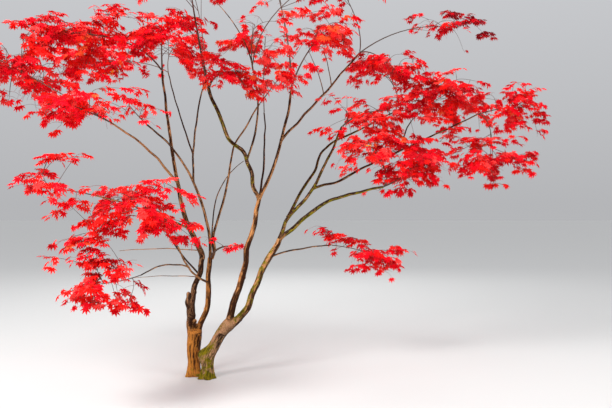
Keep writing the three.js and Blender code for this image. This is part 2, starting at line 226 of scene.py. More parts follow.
newLimb("trunk", None, 1, (0.219, 0.02, 0.497), (-0.054, 0.03), 0.092, 0.102, foot=(0.008, 0),
        flare=dict(spread=0.044, height=0.062, ribs=5, toward=2.48),
        burl=dict(side=3.3, height=0.188, half=0.052, bulge=0.056), tone=(0.66, 0.68), warm=(0.2, 0.2),
        moss=(1, 0.5))
newLimb("left_stem", None, 1, (-0.119, 0.112, 0.424), (0.005, 0), 0.092, 0.134, foot=(-0.122, 0.104),
        flare=dict(spread=0.052, height=0.062, ribs=4, toward=-0.66), tone=(0.6, 0.58), warm=(1, 0.95),
        moss=(0.6, 0.1))
newLimb("left_bough", "left_stem", 0.9, (-0.045, 0.18, 1.075), (-0.072, -0.02), 0.06, 0.046, spread=-0.052,
        bends=[(0.12, 0.1, -0.008, 0), (0.25, 0.14, 0.01, 0), (0.5, 0.13, 0.014, 0), (0.82, 0.11, 0.018, 0),
               (1, 0.1, -0.012, 0)], swells=[(0.28, 0.16, 0.1)], tone=(0.2, 0.26), warm=(0.4, 0.35),
        moss=(0.05, 0.05))
newLimb("crotch_stub", "left_stem", 0.95, (-0.1, 0.08, 0.508), (0.004, 0), 0.05, 0.034, extra="fused",
        tone=(0.5, 0.7), warm=(0.8, 0.5), moss=(0, 0))
newLimb("bough_stub", "left_bough", 0.24, (-0.179, 0.135, 0.755), (-0.008, 0), 0.056, 0.036, extra="fused",
        tone=(0.12, 0.2), warm=(0.3, 0.35), moss=(0, 0))
newLimb("left_leader", "left_bough", 0.98, (-0.36, -0.25, 2.724), (-0.075, 0), 0.042, 0.019,
        bends=[(0.2, 0.1, -0.018, 0), (0.48, 0.14, 0.014, 0), (0.85, 0.25, 0.025, 0)], swells=[(0, 0.3, 0.3)],
        tone=(0.32, 0.38), warm=(0.5, 0.5), moss=(0.1, 0.15))
newLimb("fork_bough", "left_stem", 0.9, (0.012, 0.2, 1.07), (0.052, -0.03), 0.056, 0.034, spread=0.052,
        bends=[(0.28, 0.13, 0.008, 0), (0.78, 0.17, -0.026, 0)], swells=[(0.6, 0.15, 0.15), (1, 0.25, 0.25)],
        tone=(0.34, 0.36), warm=(0.85, 0.8), moss=(0.1, 0.1))
newLimb("inner_left_bough", "fork_bough", 0.98, (-0.436, -0.45, 2.234), (0.135, 0.095), 0.03, 0.014,
        tone=(0.3, 0.34), moss=(0.1, 0.3))
newLimb("upright_bough", "inner_left_bough", 0.52, (-0.018, 0, 2.646), (-0.035, 0), 0.019, 0.012,
        tone=(0.35, 0.35), moss=(0.2, 0.2))
newLimb("back_left_bough", "upright_bough", 0.28, (-0.462, 0.6, 2.869), (-0.02, 0.02), 0.015, 0.011)
newLimb("slender_bough", "fork_bough", 0.98, (0.507, -0.05, 2.468), (-0.105, 0), 0.025, 0.013,
        bends=[(0.06, 0.07, 0.04, 0), (0.38, 0.17, 0.05, 0), (0.74, 0.1, -0.042, 0), (0.95, 0.1, -0.018, 0)],
        tone=(0.35, 0.47), warm=(0.35, 0.5), moss=(0.05, 0.1))
newLimb("outer_left_bough", "left_leader", 0.42, (-0.623, -0.85, 2.203), (0, 0.055), 0.023, 0.014,
        tone=(0.51, 0.47), warm=(0.5, 0.4), moss=(0.1, 0.1))
newLimb("low_left_bough", "fork_bough", 0.7, (-0.132, -0.65, 1.228), (-0.02, -0.055), 0.021, 0.013,
        tone=(0.35, 0.39), warm=(0.6, 0.6), moss=(0.1, 0.1))
newLimb("weeping_bough", "low_left_bough", 0.62, (-0.353, -1, 1.025), (0, 0.05), 0.013, 0.01)
newLimb("far_left_bough", "left_leader", 0.16, (-0.793, -0.75, 1.64), (0, 0.03), 0.018, 0.011,
        tone=(0.43, 0.43), warm=(0.5, 0.5))
newLimb("back_low_left_bough", "left_bough", 0.8, (-0.7, 0.72, 1.59), (0, -0.04), 0.018, 0.011)
newLimb("centre_bough", "trunk", 0.9, (0.477, 0.06, 1.62), (0.018, 0), 0.068, 0.037, tone=(0.02, 0.62),
        warm=(0.7, 0.6), moss=(0.15, 0.1))
newLimb("mossy_bough", "centre_bough", 0.98, (0.048, -0.15, 2.593), (-0.015, 0.01), 0.038, 0.031,
        bends=[(0.12, 0.08, -0.016, 0), (0.28, 0.13, 0.052, 0), (0.42, 0.07, 0.05, 0),
               (0.62, 0.15, -0.014, 0), (0.92, 0.1, -0.012, 0)], tone=(0.26, 0.26), warm=(0.3, 0.3),
        moss=(0.55, 0.65))
newLimb("tall_bough", "mossy_bough", 0.36, (0.424, -0.12, 2.783), (0.075, 0), 0.02, 0.013, tone=(0.35, 0.35),
        moss=(0.2, 0.2))
newLimb("leader", "centre_bough", 0.98, (0.773, 0.07, 2.658), (0.045, 0), 0.035, 0.021, tone=(0.43, 0.37),
        warm=(0.5, 0.4), moss=(0.2, 0.2))
newLimb("long_right_bough", "leader", 0.52, (1.433, 0.6, 3.066), (0.01, 0), 0.026, 0.015, tone=(0.47, 0.41),
        warm=(0.35, 0.4), moss=(0.15, 0.2))
newLimb("back_bough", "centre_bough", 0.72, (0.461, 1, 2.527), (0.05, 0.03), 0.025, 0.014)
newLimb("right_bough", "trunk", 0.93, (0.655, 0.04, 1.258), (0.032, -0.028), 0.066, 0.045,
        bends=[(0.06, 0.07, 0.016, 0), (0.2, 0.18, 0.036, 0), (0.73, 0.13, -0.024, 0),
               (0.95, 0.07, 0.012, 0)], swells=[(0, 0.12, 0.12), (0.82, 0.15, 0.2)], tone=(0.44, 0.48),
        warm=(0.5, 0.5), moss=(0.85, 0.5))
newLimb("low_right_bough", "right_bough", 0.98, (1.602, 0, 1.719), (0, 0.095), 0.042, 0.021,
        bends=[(0.12, 0.08, 0.004, -0.018), (0.46, 0.14, 0, 0.034)], tone=(0.27, 0.25), warm=(0.4, 0.3),
        moss=(0.85, 0.65))
newLimb("upper_right_bough", "right_bough", 0.98, (1.232, 0.15, 2.285), (0.05, 0), 0.038, 0.018,
        bends=[(0.19, 0.11, -0.064, 0)], tone=(0.33, 0.36), warm=(0.45, 0.5), moss=(0.8, 0.6))
newLimb("right_tip_bough", "upper_right_bough", 0.45, (2.548, 0.4, 2.428), (0, -0.015), 0.024, 0.013,
        bends=[(0.15, 0.1, 0, -0.032)], tone=(0.3, 0.33), moss=(0.4, 0.2))
newLimb("right_centre_bough", "right_tip_bough", 0.5, (1.923, 0.45, 2.377), (0, 0.02), 0.015, 0.011)
newLimb("parallel_bough", "upper_right_bough", 0.2, (1.83, 1, 2.527), (-0.06, 0.1), 0.03, 0.014,
        bends=[(0.2, 0.14, -0.034, 0), (0.54, 0.19, -0.162, 0)], tone=(0.28, 0.32), moss=(0.95, 0.6))
newLimb("low_spray_bough", "right_bough", 0.8, (1.149, 0.4, 1.173), (0, 0.025), 0.018, 0.011,
        tone=(0.28, 0.3), warm=(0.3, 0.4), moss=(0.3, 0.2))
newLimb("twin_twig", "slender_bough", 0.03, (0.331, 0.15, 1.965), (-0.11, 0.1), 0.015, 0.006, extra="twig")
newLimb("pale_twig", "left_leader", 0.05, (-0.664, -0.45, 1.174), (0, 0.02), 0.009, 0.004, extra="twig",
        tone=(0.7, 0.7), warm=(0.8, 0.8))
newLimb("low_pale_twig", "low_left_bough", 0.3, (-0.572, -0.3, 0.933), (0, 0.015), 0.008, 0.003, extra="twig",
        tone=(0.6, 0.6), warm=(0.8, 0.8))
newLimb("upward_twig", "long_right_bough", 0.6, (1.07, 0.3, 3.001), (0.01, 0), 0.011, 0.005, extra="twig")
newLimb("leaning_twig", "long_right_bough", 0.5, (0.919, 0.3, 3.02), (0.02, 0), 0.01, 0.005, extra="twig")
newLimb("high_twig", "tall_bough", 0.96, (0.13, -0.3, 3.295), (0.053, 0.01), 0.013, 0.006, extra="twig")


def thickness(limb, share):
    return mix(limb["thick"], limb["thin"], share)


def limbCurve(limb, index, parent):
    # The line of the solid, as a function of the share of the way from foot to tip
    start = parent["pointAt"](limb["at"]) if parent else Vector((*limb["foot"], -woodShape["buried"]))
    end = Vector(limb["tip"])
    pull = (start + end) / 2 + 2 * Vector((limb["bow"][0], 0, limb["bow"][1]))
    wander = limb["thick"] * (woodShape["crook"] if parent else woodShape["stemCrook"])
    phase = index * goldenTurn % 1

    def pointAt(share):
        sway = wander * math.sin(math.pi * share)
        turn = 2 * math.pi * (2 * share + phase)
        return bezier(start, pull, end, share) + sway * Vector((math.sin(turn), math.cos(turn), 0))
    return pointAt


def easeAway(limb, parent, pointAt, length):
    # A limb that goes on from its parent's tip leaves in the parent's direction and bends away
    def heading(curve, share):
        return (curve(share + woodShape["headingStep"]) - curve(share)).normalized()

    bend = Vector()
    if parent and limb["at"] > woodShape["easeFrom"]:
        bend = heading(parent["pointAt"], limb["at"] - woodShape["stepBack"]) - heading(pointAt, 0)
    spread = Vector((limb.get("spread", 0), 0, 0))
    random = seeded(round(1000 * length))
    kinkCount = max(2, round(length / woodShape["kinkGap"])) if parent else 2
    kinks = [Vector() for _ in range(kinkCount + 1)]
    for kink in kinks[1:-1]:
        kink.xyz = (random() - 0.5, random() - 0.5, random() - 0.5)

    def eased(share):
        along = share * length
        place = pointAt(share) + bend * along * math.exp(-along / (woodShape["easeShare"] * limb["thick"]))
        apart = spread * math.tanh(along / woodShape["spreadStart"])
        place += apart * math.exp(-along / woodShape["spreadLength"])
        for middle, width, aside, rise in limb.get("bends", ()):
            place += Vector((aside, 0, rise)) * math.exp(-((share - middle) / width) ** 2)
        reach = woodShape["kinkShare"] * thickness(limb, share) + woodShape["kinkLeast"]
        return place + placeOn(kinks, share) * 2 * reach
    return eased


def limbRadius(limb, share, height, direction, length):
    # The radius at a share of the way, at a height and in a direction; arrays or single values
    radius = thickness(limb, share) / 2
    for middle, width, amount in limb.get("swells", ()):
        radius = radius * (1 + amount * np.exp(-((share - middle) / width) ** 2))
    if limb["at"] < woodShape["easeFrom"]:
        radius = radius * (1 + woodShape["collar"] * np.exp(-share * length / limb["thick"]))
    angle = np.arctan2(direction[..., 1], direction[..., 0])
    if "flare" in limb:
        flare = limb["flare"]
        depth = woodShape["ribDepth"]
        rib = 1 - depth + depth * np.cos(flare["ribs"] * (angle - flare["toward"]))
        radius = radius + flare["spread"] * rib * np.exp(-np.maximum(0, height) / flare["height"])
    if "burl" in limb:
        burl = limb["burl"]
        facing = np.maximum(0, np.cos(angle - burl["side"]))
        nearness = np.exp(-((height - burl["height"]) / burl["half"]) ** 2)
        radius = radius + burl["bulge"] * facing ** 2 * nearness
    closing = np.clip((1 - share) * length / (woodShape["closing"] * limb["thin"]), 0, 1)
    return radius * np.sqrt(1 - (1 - closing) ** 2 * woodShape["tipFlatness"])


def growLimbs():
    grown = {}
    for index, limb in enumerate(limbs):
        parent = grown.get(limb["parent"])
        pointAt = limbCurve(limb, index, parent)
        length = pathLength([pointAt(i / 20) for i in range(21)])
        pointAt = easeAway(limb, parent, pointAt, length)
        rings = max(10, round(length / woodShape["ringStep"]))
        path = [pointAt(i / rings) for i in range(rings + 1)]
        grown[limb["name"]] = dict(limb=limb, index=index, pointAt=pointAt, path=path, length=length,
                                   frames=ringFrames(path), parent=parent)
    return grown


def tubeQuads(gaps, sides):
    # The quads between each ring of a tube and the next
    return [(i * sides + k, i * sides + (k + 1) % sides, (i + 1) * sides + (k + 1) % sides,
             (i + 1) * sides + k) for i in range(gaps) for k in range(sides)]


def limbTube(grown, sides):
    # A closed tube of quads with a fan of triangles at each end
    path = np.array(grown["path"])
    last = len(path) - 1
    turns = 2 * np.pi * np.arange(sides) / sides
    _, across, aside = np.array(grown["frames"]).transpose(1, 0, 2)[:, :, None]
    direction = across * np.cos(turns)[:, None] + aside * np.sin(turns)[:, None]
    share = np.arange(last + 1)[:, None] / last
    radius = limbRadius(grown["limb"], share, path[:, None, 2], direction, grown["length"])
    vertices = (path[:, None] + direction * radius[..., None]).reshape(-1, 3)
    foot, tip = len(vertices), len(vertices) + 1
    ends = [(foot, (k + 1) % sides, k) for k in range(sides)]
    ends += [(tip, last * sides + k, last * sides + (k + 1) % sides) for k in range(sides)]
    return np.concatenate([vertices, path[:1], path[-1:]]), tubeQuads(last, sides) + ends


def joinTubes(name, tubes):
    vertices, faces = [], []
    for tubeVertices, tubeFaces in tubes:
        start = len(vertices)
        vertices.extend(tubeVertices.tolist())
        faces += [tuple(start + v for v in face) for face in tubeFaces]
    mesh = bpy.data.meshes.new(name)
    mesh.from_pydata(vertices, [], faces)
    return addObject(name, mesh)


def applyModifiers(made):
    graph = bpy.context.evaluated_depsgraph_get()
    graph.update()
    mesh = bpy.data.meshes.new_from_object(made.evaluated_get(graph))
    made.modifiers.clear()
    made.data = mesh


def cutAtGround(made):
    bm = bmesh.new()
    bm.from_mesh(made.data)
    everything = bm.verts[:] + bm.edges[:] + bm.faces[:]
    bmesh.ops.bisect_plane(bm, geom=everything, plane_co=(0, 0, 0), plane_no=(0, 0, 1), clear_inner=True)
    rim = [edge for edge in bm.edges if edge.is_boundary]
    bmesh.ops.triangle_fill(bm, edges=rim, use_beauty=True, normal=(0, 0, -1))
    bmesh.ops.recalc_face_normals(bm, faces=bm.faces)
    bm.to_mesh(made.data)
    bm.free()


def readVectors(source, field):
    values = np.empty(len(source) * 3, np.float32)
    source.foreach_get(field, values)
    return values.reshape(-1, 3).astype(float)


def placePoints(mesh, points):
    mesh.vertices.foreach_set("co", points.astype(np.float32).ravel())
    mesh.update()


def nearLimb(grown, points):
    # Where each point lies along a limb, how far out of its surface, and its place in the grain
    centres = np.array(grown["path"])
    heading, across, aside = np.array(grown["frames"]).transpose(1, 0, 2)
    steps = np.linalg.norm(np.diff(centres, axis=0), axis=1)
    along = np.concatenate([[0], np.cumsum(steps)])
    apart = (points ** 2).sum(1)[:, None] + (centres ** 2).sum(1) - 2 * points @ centres.T
    nearest = apart.argmin(1)
    off = points - centres[nearest]
    forward = (off * heading[nearest]).sum(1)
    reach = along[nearest] + forward
    share = np.clip(reach / along[-1], 0, 1)
    beyond = reach - share * along[-1]
    outward = off - forward[:, None] * heading[nearest]
    radius = limbRadius(grown["limb"], share, centres[nearest, 2] + forward * heading[nearest, 2],
                        outward, grown["length"])
    distance = np.hypot(np.linalg.norm(outward, axis=1), beyond) - radius
    grain = np.stack([(off * across[nearest]).sum(1), (off * aside[nearest]).sum(1),
                      reach * barkRelief["alongStretch"]], 1) + grown["index"] * barkRelief["grainShift"]
    return share, distance, grain


def smoothForks(made, group):
    # Each vertex goes to where the limbs, run into one another like wax, have their surface
    for _ in range(fusedLimbs["rounds"]):
        points = readVectors(made.data.vertices, "co")
        normals = readVectors(made.data.vertex_normals, "vector")
        nearness, widths = np.zeros(len(points)), np.zeros(len(points))
        for grown in group:
            share, distance, _ = nearLimb(grown, points)
            width = fusedLimbs["fillet"] * thickness(grown["limb"], share)
            near = np.exp(-np.clip(distance / width, -8, 30))
            nearness += near
            widths += near * width
        gap = -widths / nearness * np.log(nearness)
        gap = np.clip(gap, -fusedLimbs["most"], fusedLimbs["most"])
        placePoints(made.data, points - normals * gap[:, None])


barkRelief = {
    "blendWidth": 0.005,     # over which the looks of two limbs run into one another at a fork
    "alongStretch": 0.16,    # the grain is drawn out along a limb
    "grainShift": 0.371,     # from each limb to the next, so that no two are alike
    "ridge": 0.0035,         # the most that a ridge stands out
    "ridgeShare": 0.07,      # of the limb's radius
    "ridgeScale": 95,
    "fineScale": 2.3,        # of the ridges' scale, with this share of their height
    "fineWeight": 0.5,
    "lump": 0.14,            # of the radius, broad swellings
    "lumpScale": 11,
    "knotGap": 0.17,         # along a limb, from one old twig scar to the next
    "knotWidth": 0.55,       # of the radius
    "knotHeight": 0.24,
    "smallKnot": 0.5,        # the size of the smallest, to the largest
    "paintedLightSide": (-0.45, -0.15, 0.88),     # the side toward the key light, whose bark is painted palest as painted light; the far side is painted darker as painted shade
    # how much painted light raises the tone on that side, and how much painted shade lowers it on the far
    # side
    "paintedLightShade": 0.42,
    "mossEven": 0.55,        # of a limb's moss, whichever way its bark faces
    "mossOnTop": 0.45,       # the rest, most of it on the upper side
    "mossLevel": 0.35,
    "flatFoot": 0.01,        # above the cut at the ground, over which the relief sets in
    # In the left stem's crotch, where its surface faces up; the tone there is also painted darker, as painted
    # shade in the hollow
    "hollow": dict(place=(-0.131, 0.066, 0.462), width=0.034, depth=0.040, tilt=0.4),
}


def looksOf(grown, share):
    # Tone, warmth and moss along a limb, which start from its parent's
    limb, parent = grown["limb"], grown["parent"]
    own = np.clip(share * grown["length"] / woodShape["looksLength"] - woodShape["looksStart"], 0, 1)
    looks = []
    for kind in ("tone", "warm", "moss"):
        value = mix(*limb[kind], share)
        if parent:
            value = mix(mix(*parent["limb"][kind], limb["at"]), value, own)
        looks.append(value)
    return looks


def barkFields(points, group):
    # For each point its place in the grain, and the looks and the radius of its limb
    weights = np.zeros(len(points))
    fields = np.zeros((len(points), 7))
    for grown in group:
        share, distance, grain = nearLimb(grown, points)
        weight = np.exp(-np.clip(distance, 0, None) / barkRelief["blendWidth"]) + 1e-9
        radius = thickness(grown["limb"], share) / 2
        fields += weight[:, None] * np.column_stack([grain, *looksOf(grown, share), radius])
        weights += weight
    return fields / weights[:, None]


def knotPlaces(group):
    knots = []
    for grown in group:
        if "extra" in grown["limb"]:
            continue
        random = seeded(grown["index"] + 101)
        for n in range(int(grown["length"] / barkRelief["knotGap"])):
            share = (n + 0.3 + 0.6 * random()) * barkRelief["knotGap"] / grown["length"]
            i = min(int(share * len(grown["path"])), len(grown["path"]) - 1)
            _, across, aside = grown["frames"][i]
            turn = 2 * math.pi * random()
            direction = across * math.cos(turn) + aside * math.sin(turn)
            radius = thickness(grown["limb"], share) / 2
            size = mix(barkRelief["smallKnot"], 1, random())
            knots.append((grown["path"][i] + direction * radius, radius, size))
    return knots


def addRelief(made, group):
    mesh = made.data
    points, normals = readVectors(mesh.vertices, "co"), readVectors(mesh.vertex_normals, "vector")
    fields = barkFields(points, group)
    grain, (tone, warm, moss, radius) = fields[:, :3], fields[:, 3:].T
    ridges = 1 - 2 * np.abs(latticeNoise(grain, barkRelief["ridgeScale"]) - 0.5)
    fine = latticeNoise(grain, barkRelief["fineScale"] * barkRelief["ridgeScale"], 3)
    ridges += barkRelief["fineWeight"] * fine
    height = np.minimum(barkRelief["ridge"], barkRelief["ridgeShare"] * radius) * (ridges - 1)
    height += barkRelief["lump"] * radius * (latticeNoise(points, barkRelief["lumpScale"], 5) - 0.5)
    for place, knotRadius, size in knotPlaces(group):
        width = barkRelief["knotWidth"] * knotRadius * size
        apart = ((points - np.array(place)) ** 2).sum(1)
        height += barkRelief["knotHeight"] * knotRadius * size * np.exp(-apart / width ** 2)
    hollow = barkRelief["hollow"]
    inHollow = np.exp(-((points - np.array(hollow["place"])) ** 2).sum(1) / hollow["width"] ** 2)
    height -= hollow["depth"] * inHollow * np.clip(normals[:, 2] + hollow["tilt"], 0, 1)
    height *= np.clip(points[:, 2] / barkRelief["flatFoot"], 0, 1)
    placePoints(mesh, points + normals * height[:, None])
    facingUp = np.clip(normals[:, 2] + barkRelief["mossLevel"], -1, 1)
    moss = moss * (barkRelief["mossEven"] + barkRelief["mossOnTop"] * facingUp)
    # Painted light and shade: the tone is raised on the side that faces the key light and lowered on the side
    # away from it
    facingPaintedLight = normals @ np.array(barkRelief["paintedLightSide"])
    # The hollow's mask also lowers the tone there: painted shade in the hollow
    tone = np.clip(tone + barkRelief["paintedLightShade"] * facingPaintedLight - inHollow, 0, 1)
    for name, values in (("tone", tone), ("warm", warm), ("moss", moss)):
        mesh.attributes.new(name, "FLOAT", "POINT").data.foreach_set("value", values.astype(np.float32))
    mesh.attributes.new("grain", "FLOAT_VECTOR", "POINT").data.foreach_set(
        "vector", grain.astype(np.float32).ravel())
    mesh.update()


# Node groups and materials

def feed(tree, socket, source):
    if isinstance(source, bpy.types.NodeSocket):
        tree.links.new(source, socket)
    elif isinstance(source, tuple) and len(source) == 3 and socket.type == "RGBA":
        socket.default_value = (*source, 1)
    else:
        socket.default_value = source


def addNode(tree, kind, sources=None, **settings):
    node = tree.nodes.new(kind)
    for name, value in settings.items():
        setattr(node, name, value)
    for name, source in (sources or {}).items():
        feed(tree, node.inputs[name], source)
    return node


def newGroup(name, inputs, outputs):
    # Each input has its plain value, or None if it takes a vector, and the outputs are values
    group = bpy.data.node_groups.new(name, "ShaderNodeTree")
    for label, value in inputs.items():
        kind = "NodeSocketVector" if value is None else "NodeSocketFloat"
        socket = group.interface.new_socket(label, in_out="INPUT", socket_type=kind)
        if value is not None:
            socket.default_value = value
    for label in outputs:
        group.interface.new_socket(label, in_out="OUTPUT", socket_type="NodeSocketFloat")
    return group, group.nodes.new("NodeGroupInput").outputs, group.nodes.new("NodeGroupOutput").inputs


def fillGroup(tree, group, sources):
    return addNode(tree, "ShaderNodeGroup", sources, node_tree=group).outputs


def combine(tree, operation, first, second):
    return addNode(tree, "ShaderNodeMath", {0: first, 1: second}, operation=operation).outputs[0]


def multiply(tree, first, second):
    return combine(tree, "MULTIPLY", first, second)


def stretch(tree, value, low, high, first=0.0, last=1.0):
    sources = {"Value": value, "From Min": low, "From Max": high, "To Min": first, "To Max": last}
    return addNode(tree, "ShaderNodeMapRange", sources, interpolation_type="SMOOTHSTEP").outputs["Result"]


def mixColour(tree, share, first, last):
    return addNode(tree, "ShaderNodeMix", {0: share, 6: first, 7: last}, data_type="RGBA").outputs[2]


def noiseField(tree, place, scale, detail, roughness=0.5, distortion=0.0):
    return addNode(tree, "ShaderNodeTexNoise", {
        "Vector": place, "Scale": scale, "Detail": detail, "Roughness": roughness,
        "Distortion": distortion}).outputs["Fac"]


def makeStreaks():
    # Fine streaks that run along the grain, and a height for the bump
    group, given, out = newGroup("barkStreaks", {"Grain": None, "Scale": 160.0, "Softness": 0.16},
                                 ("Mask", "Height"))
    fine = noiseField(group, given["Grain"], given["Scale"], 5.0, 0.62)
    low = combine(group, "SUBTRACT", 0.5, given["Softness"])
    high = combine(group, "ADD", 0.5, given["Softness"])
    group.links.new(stretch(group, fine, low, high), out["Mask"])
    group.links.new(fine, out["Height"])
    return group


mossPattern = {
    "weight": 0.55,          # of the amount, against the noise that breaks it into patches
    "levels": (0.74, 0.90),  # of both together, where moss begins and where it is thick
    "fuzzScale": 420.0,
}
speckPattern = {"level": 0.86, "weight": 0.5, "edge": 0.05}


def makeMoss():
    # Cushions of moss where the amount is high, thinning to specks
    group, given, out = newGroup("mossPatches", {"Amount": 0.5, "Scale": 22.0}, ("Mask", "Height"))
    place = addNode(group, "ShaderNodeTexCoord").outputs["Object"]
    broad = noiseField(group, place, given["Scale"], 6.0, 0.7)
    level = combine(group, "ADD", broad, multiply(group, given["Amount"], mossPattern["weight"]))
    fuzz = noiseField(group, place, mossPattern["fuzzScale"], 2.0)
    mask = stretch(group, level, *mossPattern["levels"])
    group.links.new(mask, out["Mask"])
    group.links.new(multiply(group, mask, fuzz), out["Height"])
    return group


def makeSpecks():
    # Pale flakes and lichen, a few millimetres across
    group, given, out = newGroup("paleSpecks", {"Grain": None, "Scale": 90.0, "Cover": 0.3}, ("Mask",))
    cells = noiseField(group, given["Grain"], given["Scale"], 3.0, 0.5, 0.6)
    cover = multiply(group, given["Cover"], speckPattern["weight"])
    low = combine(group, "SUBTRACT", speckPattern["level"], cover)
    high = combine(group, "ADD", low, speckPattern["edge"])
    group.links.new(stretch(group, cells, low, high), out["Mask"])
    return group


streaks, mossPatches, paleSpecks = makeStreaks(), makeMoss(), makeSpecks()

barkColours = {
    "darkCool": (0.010, 0.004, 0.002),
    "darkWarm": (0.045, 0.012, 0.002),
    "paleCool": (0.50, 0.29, 0.165),
    "paleWarm": (0.56, 0.205, 0.030),
    "moss": (0.280, 0.215, 0.008),
    "mossDeep": (0.065, 0.058, 0.004),
    "speck": (0.62, 0.49, 0.36),
}

stemBark = {"gloss": 0.10, "streakScale": 150.0, "speckCover": 0.34, "mossScale": 20.0,
            "roughness": (0.38, 0.72), "bump": 0.6, "bumpDepth": 0.003}
boughBark = {"gloss": 0.08, "streakScale": 230.0, "speckCover": 0.26, "mossScale": 30.0,
             "roughness": (0.42, 0.75), "bump": 0.45, "bumpDepth": 0.0015}
barkPattern = {
    "patchShare": 0.40,      # of the streak scale
    "broadShare": 0.15,
    "softness": 0.13,
    "levels": (0.64, 1.15),  # of tone and pattern together, where bark is darkest and palest
    "toneWeight": 0.80,
    "streakWeights": (0.24, 0.38, 0.26),     # of the streaks, the patches and the broad pattern
    "speckScale": 120.0,
    "speckTone": 0.8,        # specks show most where the bark is pale
    "mossRoughness": 0.95,
    "mossHeight": 1.5,       # of the bump, against the streaks' 1
}


def makeBark(name, look):
    material = bpy.data.materials.new(name)
    material.use_nodes = True
    tree = material.node_tree
    shader = tree.nodes["Principled BSDF"]
    shader.inputs["Specular IOR Level"].default_value = look["gloss"]
    # The tone attribute holds the bark's own tone with painted light and shade added: paler toward the key
    # light, darker away from it and in the crotch hollow
    tone, warm, moss = (addNode(tree, "ShaderNodeAttribute", attribute_name=kind).outputs["Fac"]
                        for kind in ("tone", "warm", "moss"))
    grain = addNode(tree, "ShaderNodeAttribute", attribute_name="grain").outputs["Vector"]
    streak, patch, broad = (fillGroup(tree, streaks, {
        "Grain": grain, "Scale": look["streakScale"] * share, "Softness": barkPattern["softness"]})
        for share in (1.0, barkPattern["patchShare"], barkPattern["broadShare"]))
    speck = fillGroup(tree, paleSpecks, {
        "Grain": grain, "Scale": barkPattern["speckScale"], "Cover": look["speckCover"]})
    cushion = fillGroup(tree, mossPatches, {"Amount": moss, "Scale": look["mossScale"]})
    pale = multiply(tree, tone, barkPattern["toneWeight"])
    for layer, weight in zip((streak, patch, broad), barkPattern["streakWeights"]):
        pale = combine(tree, "ADD", pale, multiply(tree, layer["Mask"], weight))
    pale = stretch(tree, pale, *barkPattern["levels"])
    dark = mixColour(tree, warm, barkColours["darkCool"], barkColours["darkWarm"])
    light = mixColour(tree, warm, barkColours["paleCool"], barkColours["paleWarm"])
    colour = mixColour(tree, pale, dark, light)
    speckled = multiply(tree, speck["Mask"], multiply(tree, tone, barkPattern["speckTone"]))
    colour = mixColour(tree, speckled, colour, barkColours["speck"])
    green = mixColour(tree, patch["Mask"], barkColours["mossDeep"], barkColours["moss"])
    colour = mixColour(tree, cushion["Mask"], colour, green)
    tree.links.new(colour, shader.inputs["Base Color"])
    rough = stretch(tree, pale, 0.0, 1.0, *look["roughness"])
    rough = combine(tree, "MAXIMUM", rough, multiply(tree, cushion["Mask"], barkPattern["mossRoughness"]))
    tree.links.new(rough, shader.inputs["Roughness"])
    height = combine(tree, "ADD", streak["Height"], patch["Height"])
    height = combine(tree, "ADD", height, multiply(tree, cushion["Height"], barkPattern["mossHeight"]))
    bump = addNode(tree, "ShaderNodeBump", {
        "Height": height, "Strength": look["bump"], "Distance": look["bumpDepth"]})
    tree.links.new(bump.outputs["Normal"], shader.inputs["Normal"])
    return material


def plainMaterial(name, colour, roughness, specular=0.5):
    material = bpy.data.materials.new(name)
    material.use_nodes = True
    shader = material.node_tree.nodes["Principled BSDF"]
    shader.inputs["Base Color"].default_value = (*colour, 1)
    shader.inputs["Roughness"].default_value = roughness
    shader.inputs["Specular IOR Level"].default_value = specular
    return material


# The lower stems and boughs are one mesh, fused at their forks, and the upper boughs another

fusedLimbs = {
    "thinnest": 0.0445,      # a limb at least this thick at its foot is one of them
    "sides": 24,
    "voxel": 0.005,
    "smooth": 3,
    "fillet": 0.12,          # of a limb's thickness, over which it runs into its neighbour
    "most": 0.02,            # that a vertex moves in one of these rounds
    "rounds": 3,
}
thinLimbs = {"sides": 10}


def makeWood(grown):
    thick = [each for each in grown.values()
             if each["limb"]["thick"] > fusedLimbs["thinnest"] or each["limb"].get("extra") == "fused"]
    thin = [each for each in grown.values() if each not in thick]
    stems = joinTubes("stems_and_low_boughs", [limbTube(each, fusedLimbs["sides"]) for each in thick])
    remesh = stems.modifiers.new("fuse", "REMESH")
    remesh.mode = "VOXEL"
    remesh.voxel_size = fusedLimbs["voxel"]
    smooth = stems.modifiers.new("smooth", "SMOOTH")
    smooth.iterations = fusedLimbs["smooth"]
    applyModifiers(stems)
    smoothForks(stems, thick)
    cutAtGround(stems)
    boughs = joinTubes("upper_boughs", [limbTube(each, thinLimbs["sides"]) for each in thin])
    for made, group, look in ((stems, thick, stemBark), (boughs, thin, boughBark)):
        addRelief(made, group)
        made.data.materials.clear()
        made.data.materials.append(makeBark(made.name + "_bark", look))
        made.data.polygons.foreach_set("use_smooth", np.full(len(made.data.polygons), True))
        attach(made, "root")
        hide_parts(*(each["limb"]["name"] for each in group if "extra" not in each["limb"]))
        print(made.name, len(made.data.polygons), "faces")


grownLimbs = growLimbs()
makeWood(grownLimbs)


# Foliage: the masses of the solids, repeated here. Each has a stem from its bough's tip and a space
# of its own, an ellipsoid of these half sizes about its middle, which falls by drop along x and y.
# Its sprays are single ones beside it, at the depth of its middle: x and z.

masses = []


def newMass(name, bough, middle, half, twigs, tints, fullness=1, drop=(0, 0), sprays=()):
    masses.append(dict(name=name, bough=bough, middle=middle, half=half, twigs=twigs, tints=tints,
                       fullness=fullness, drop=drop, sprays=sprays))


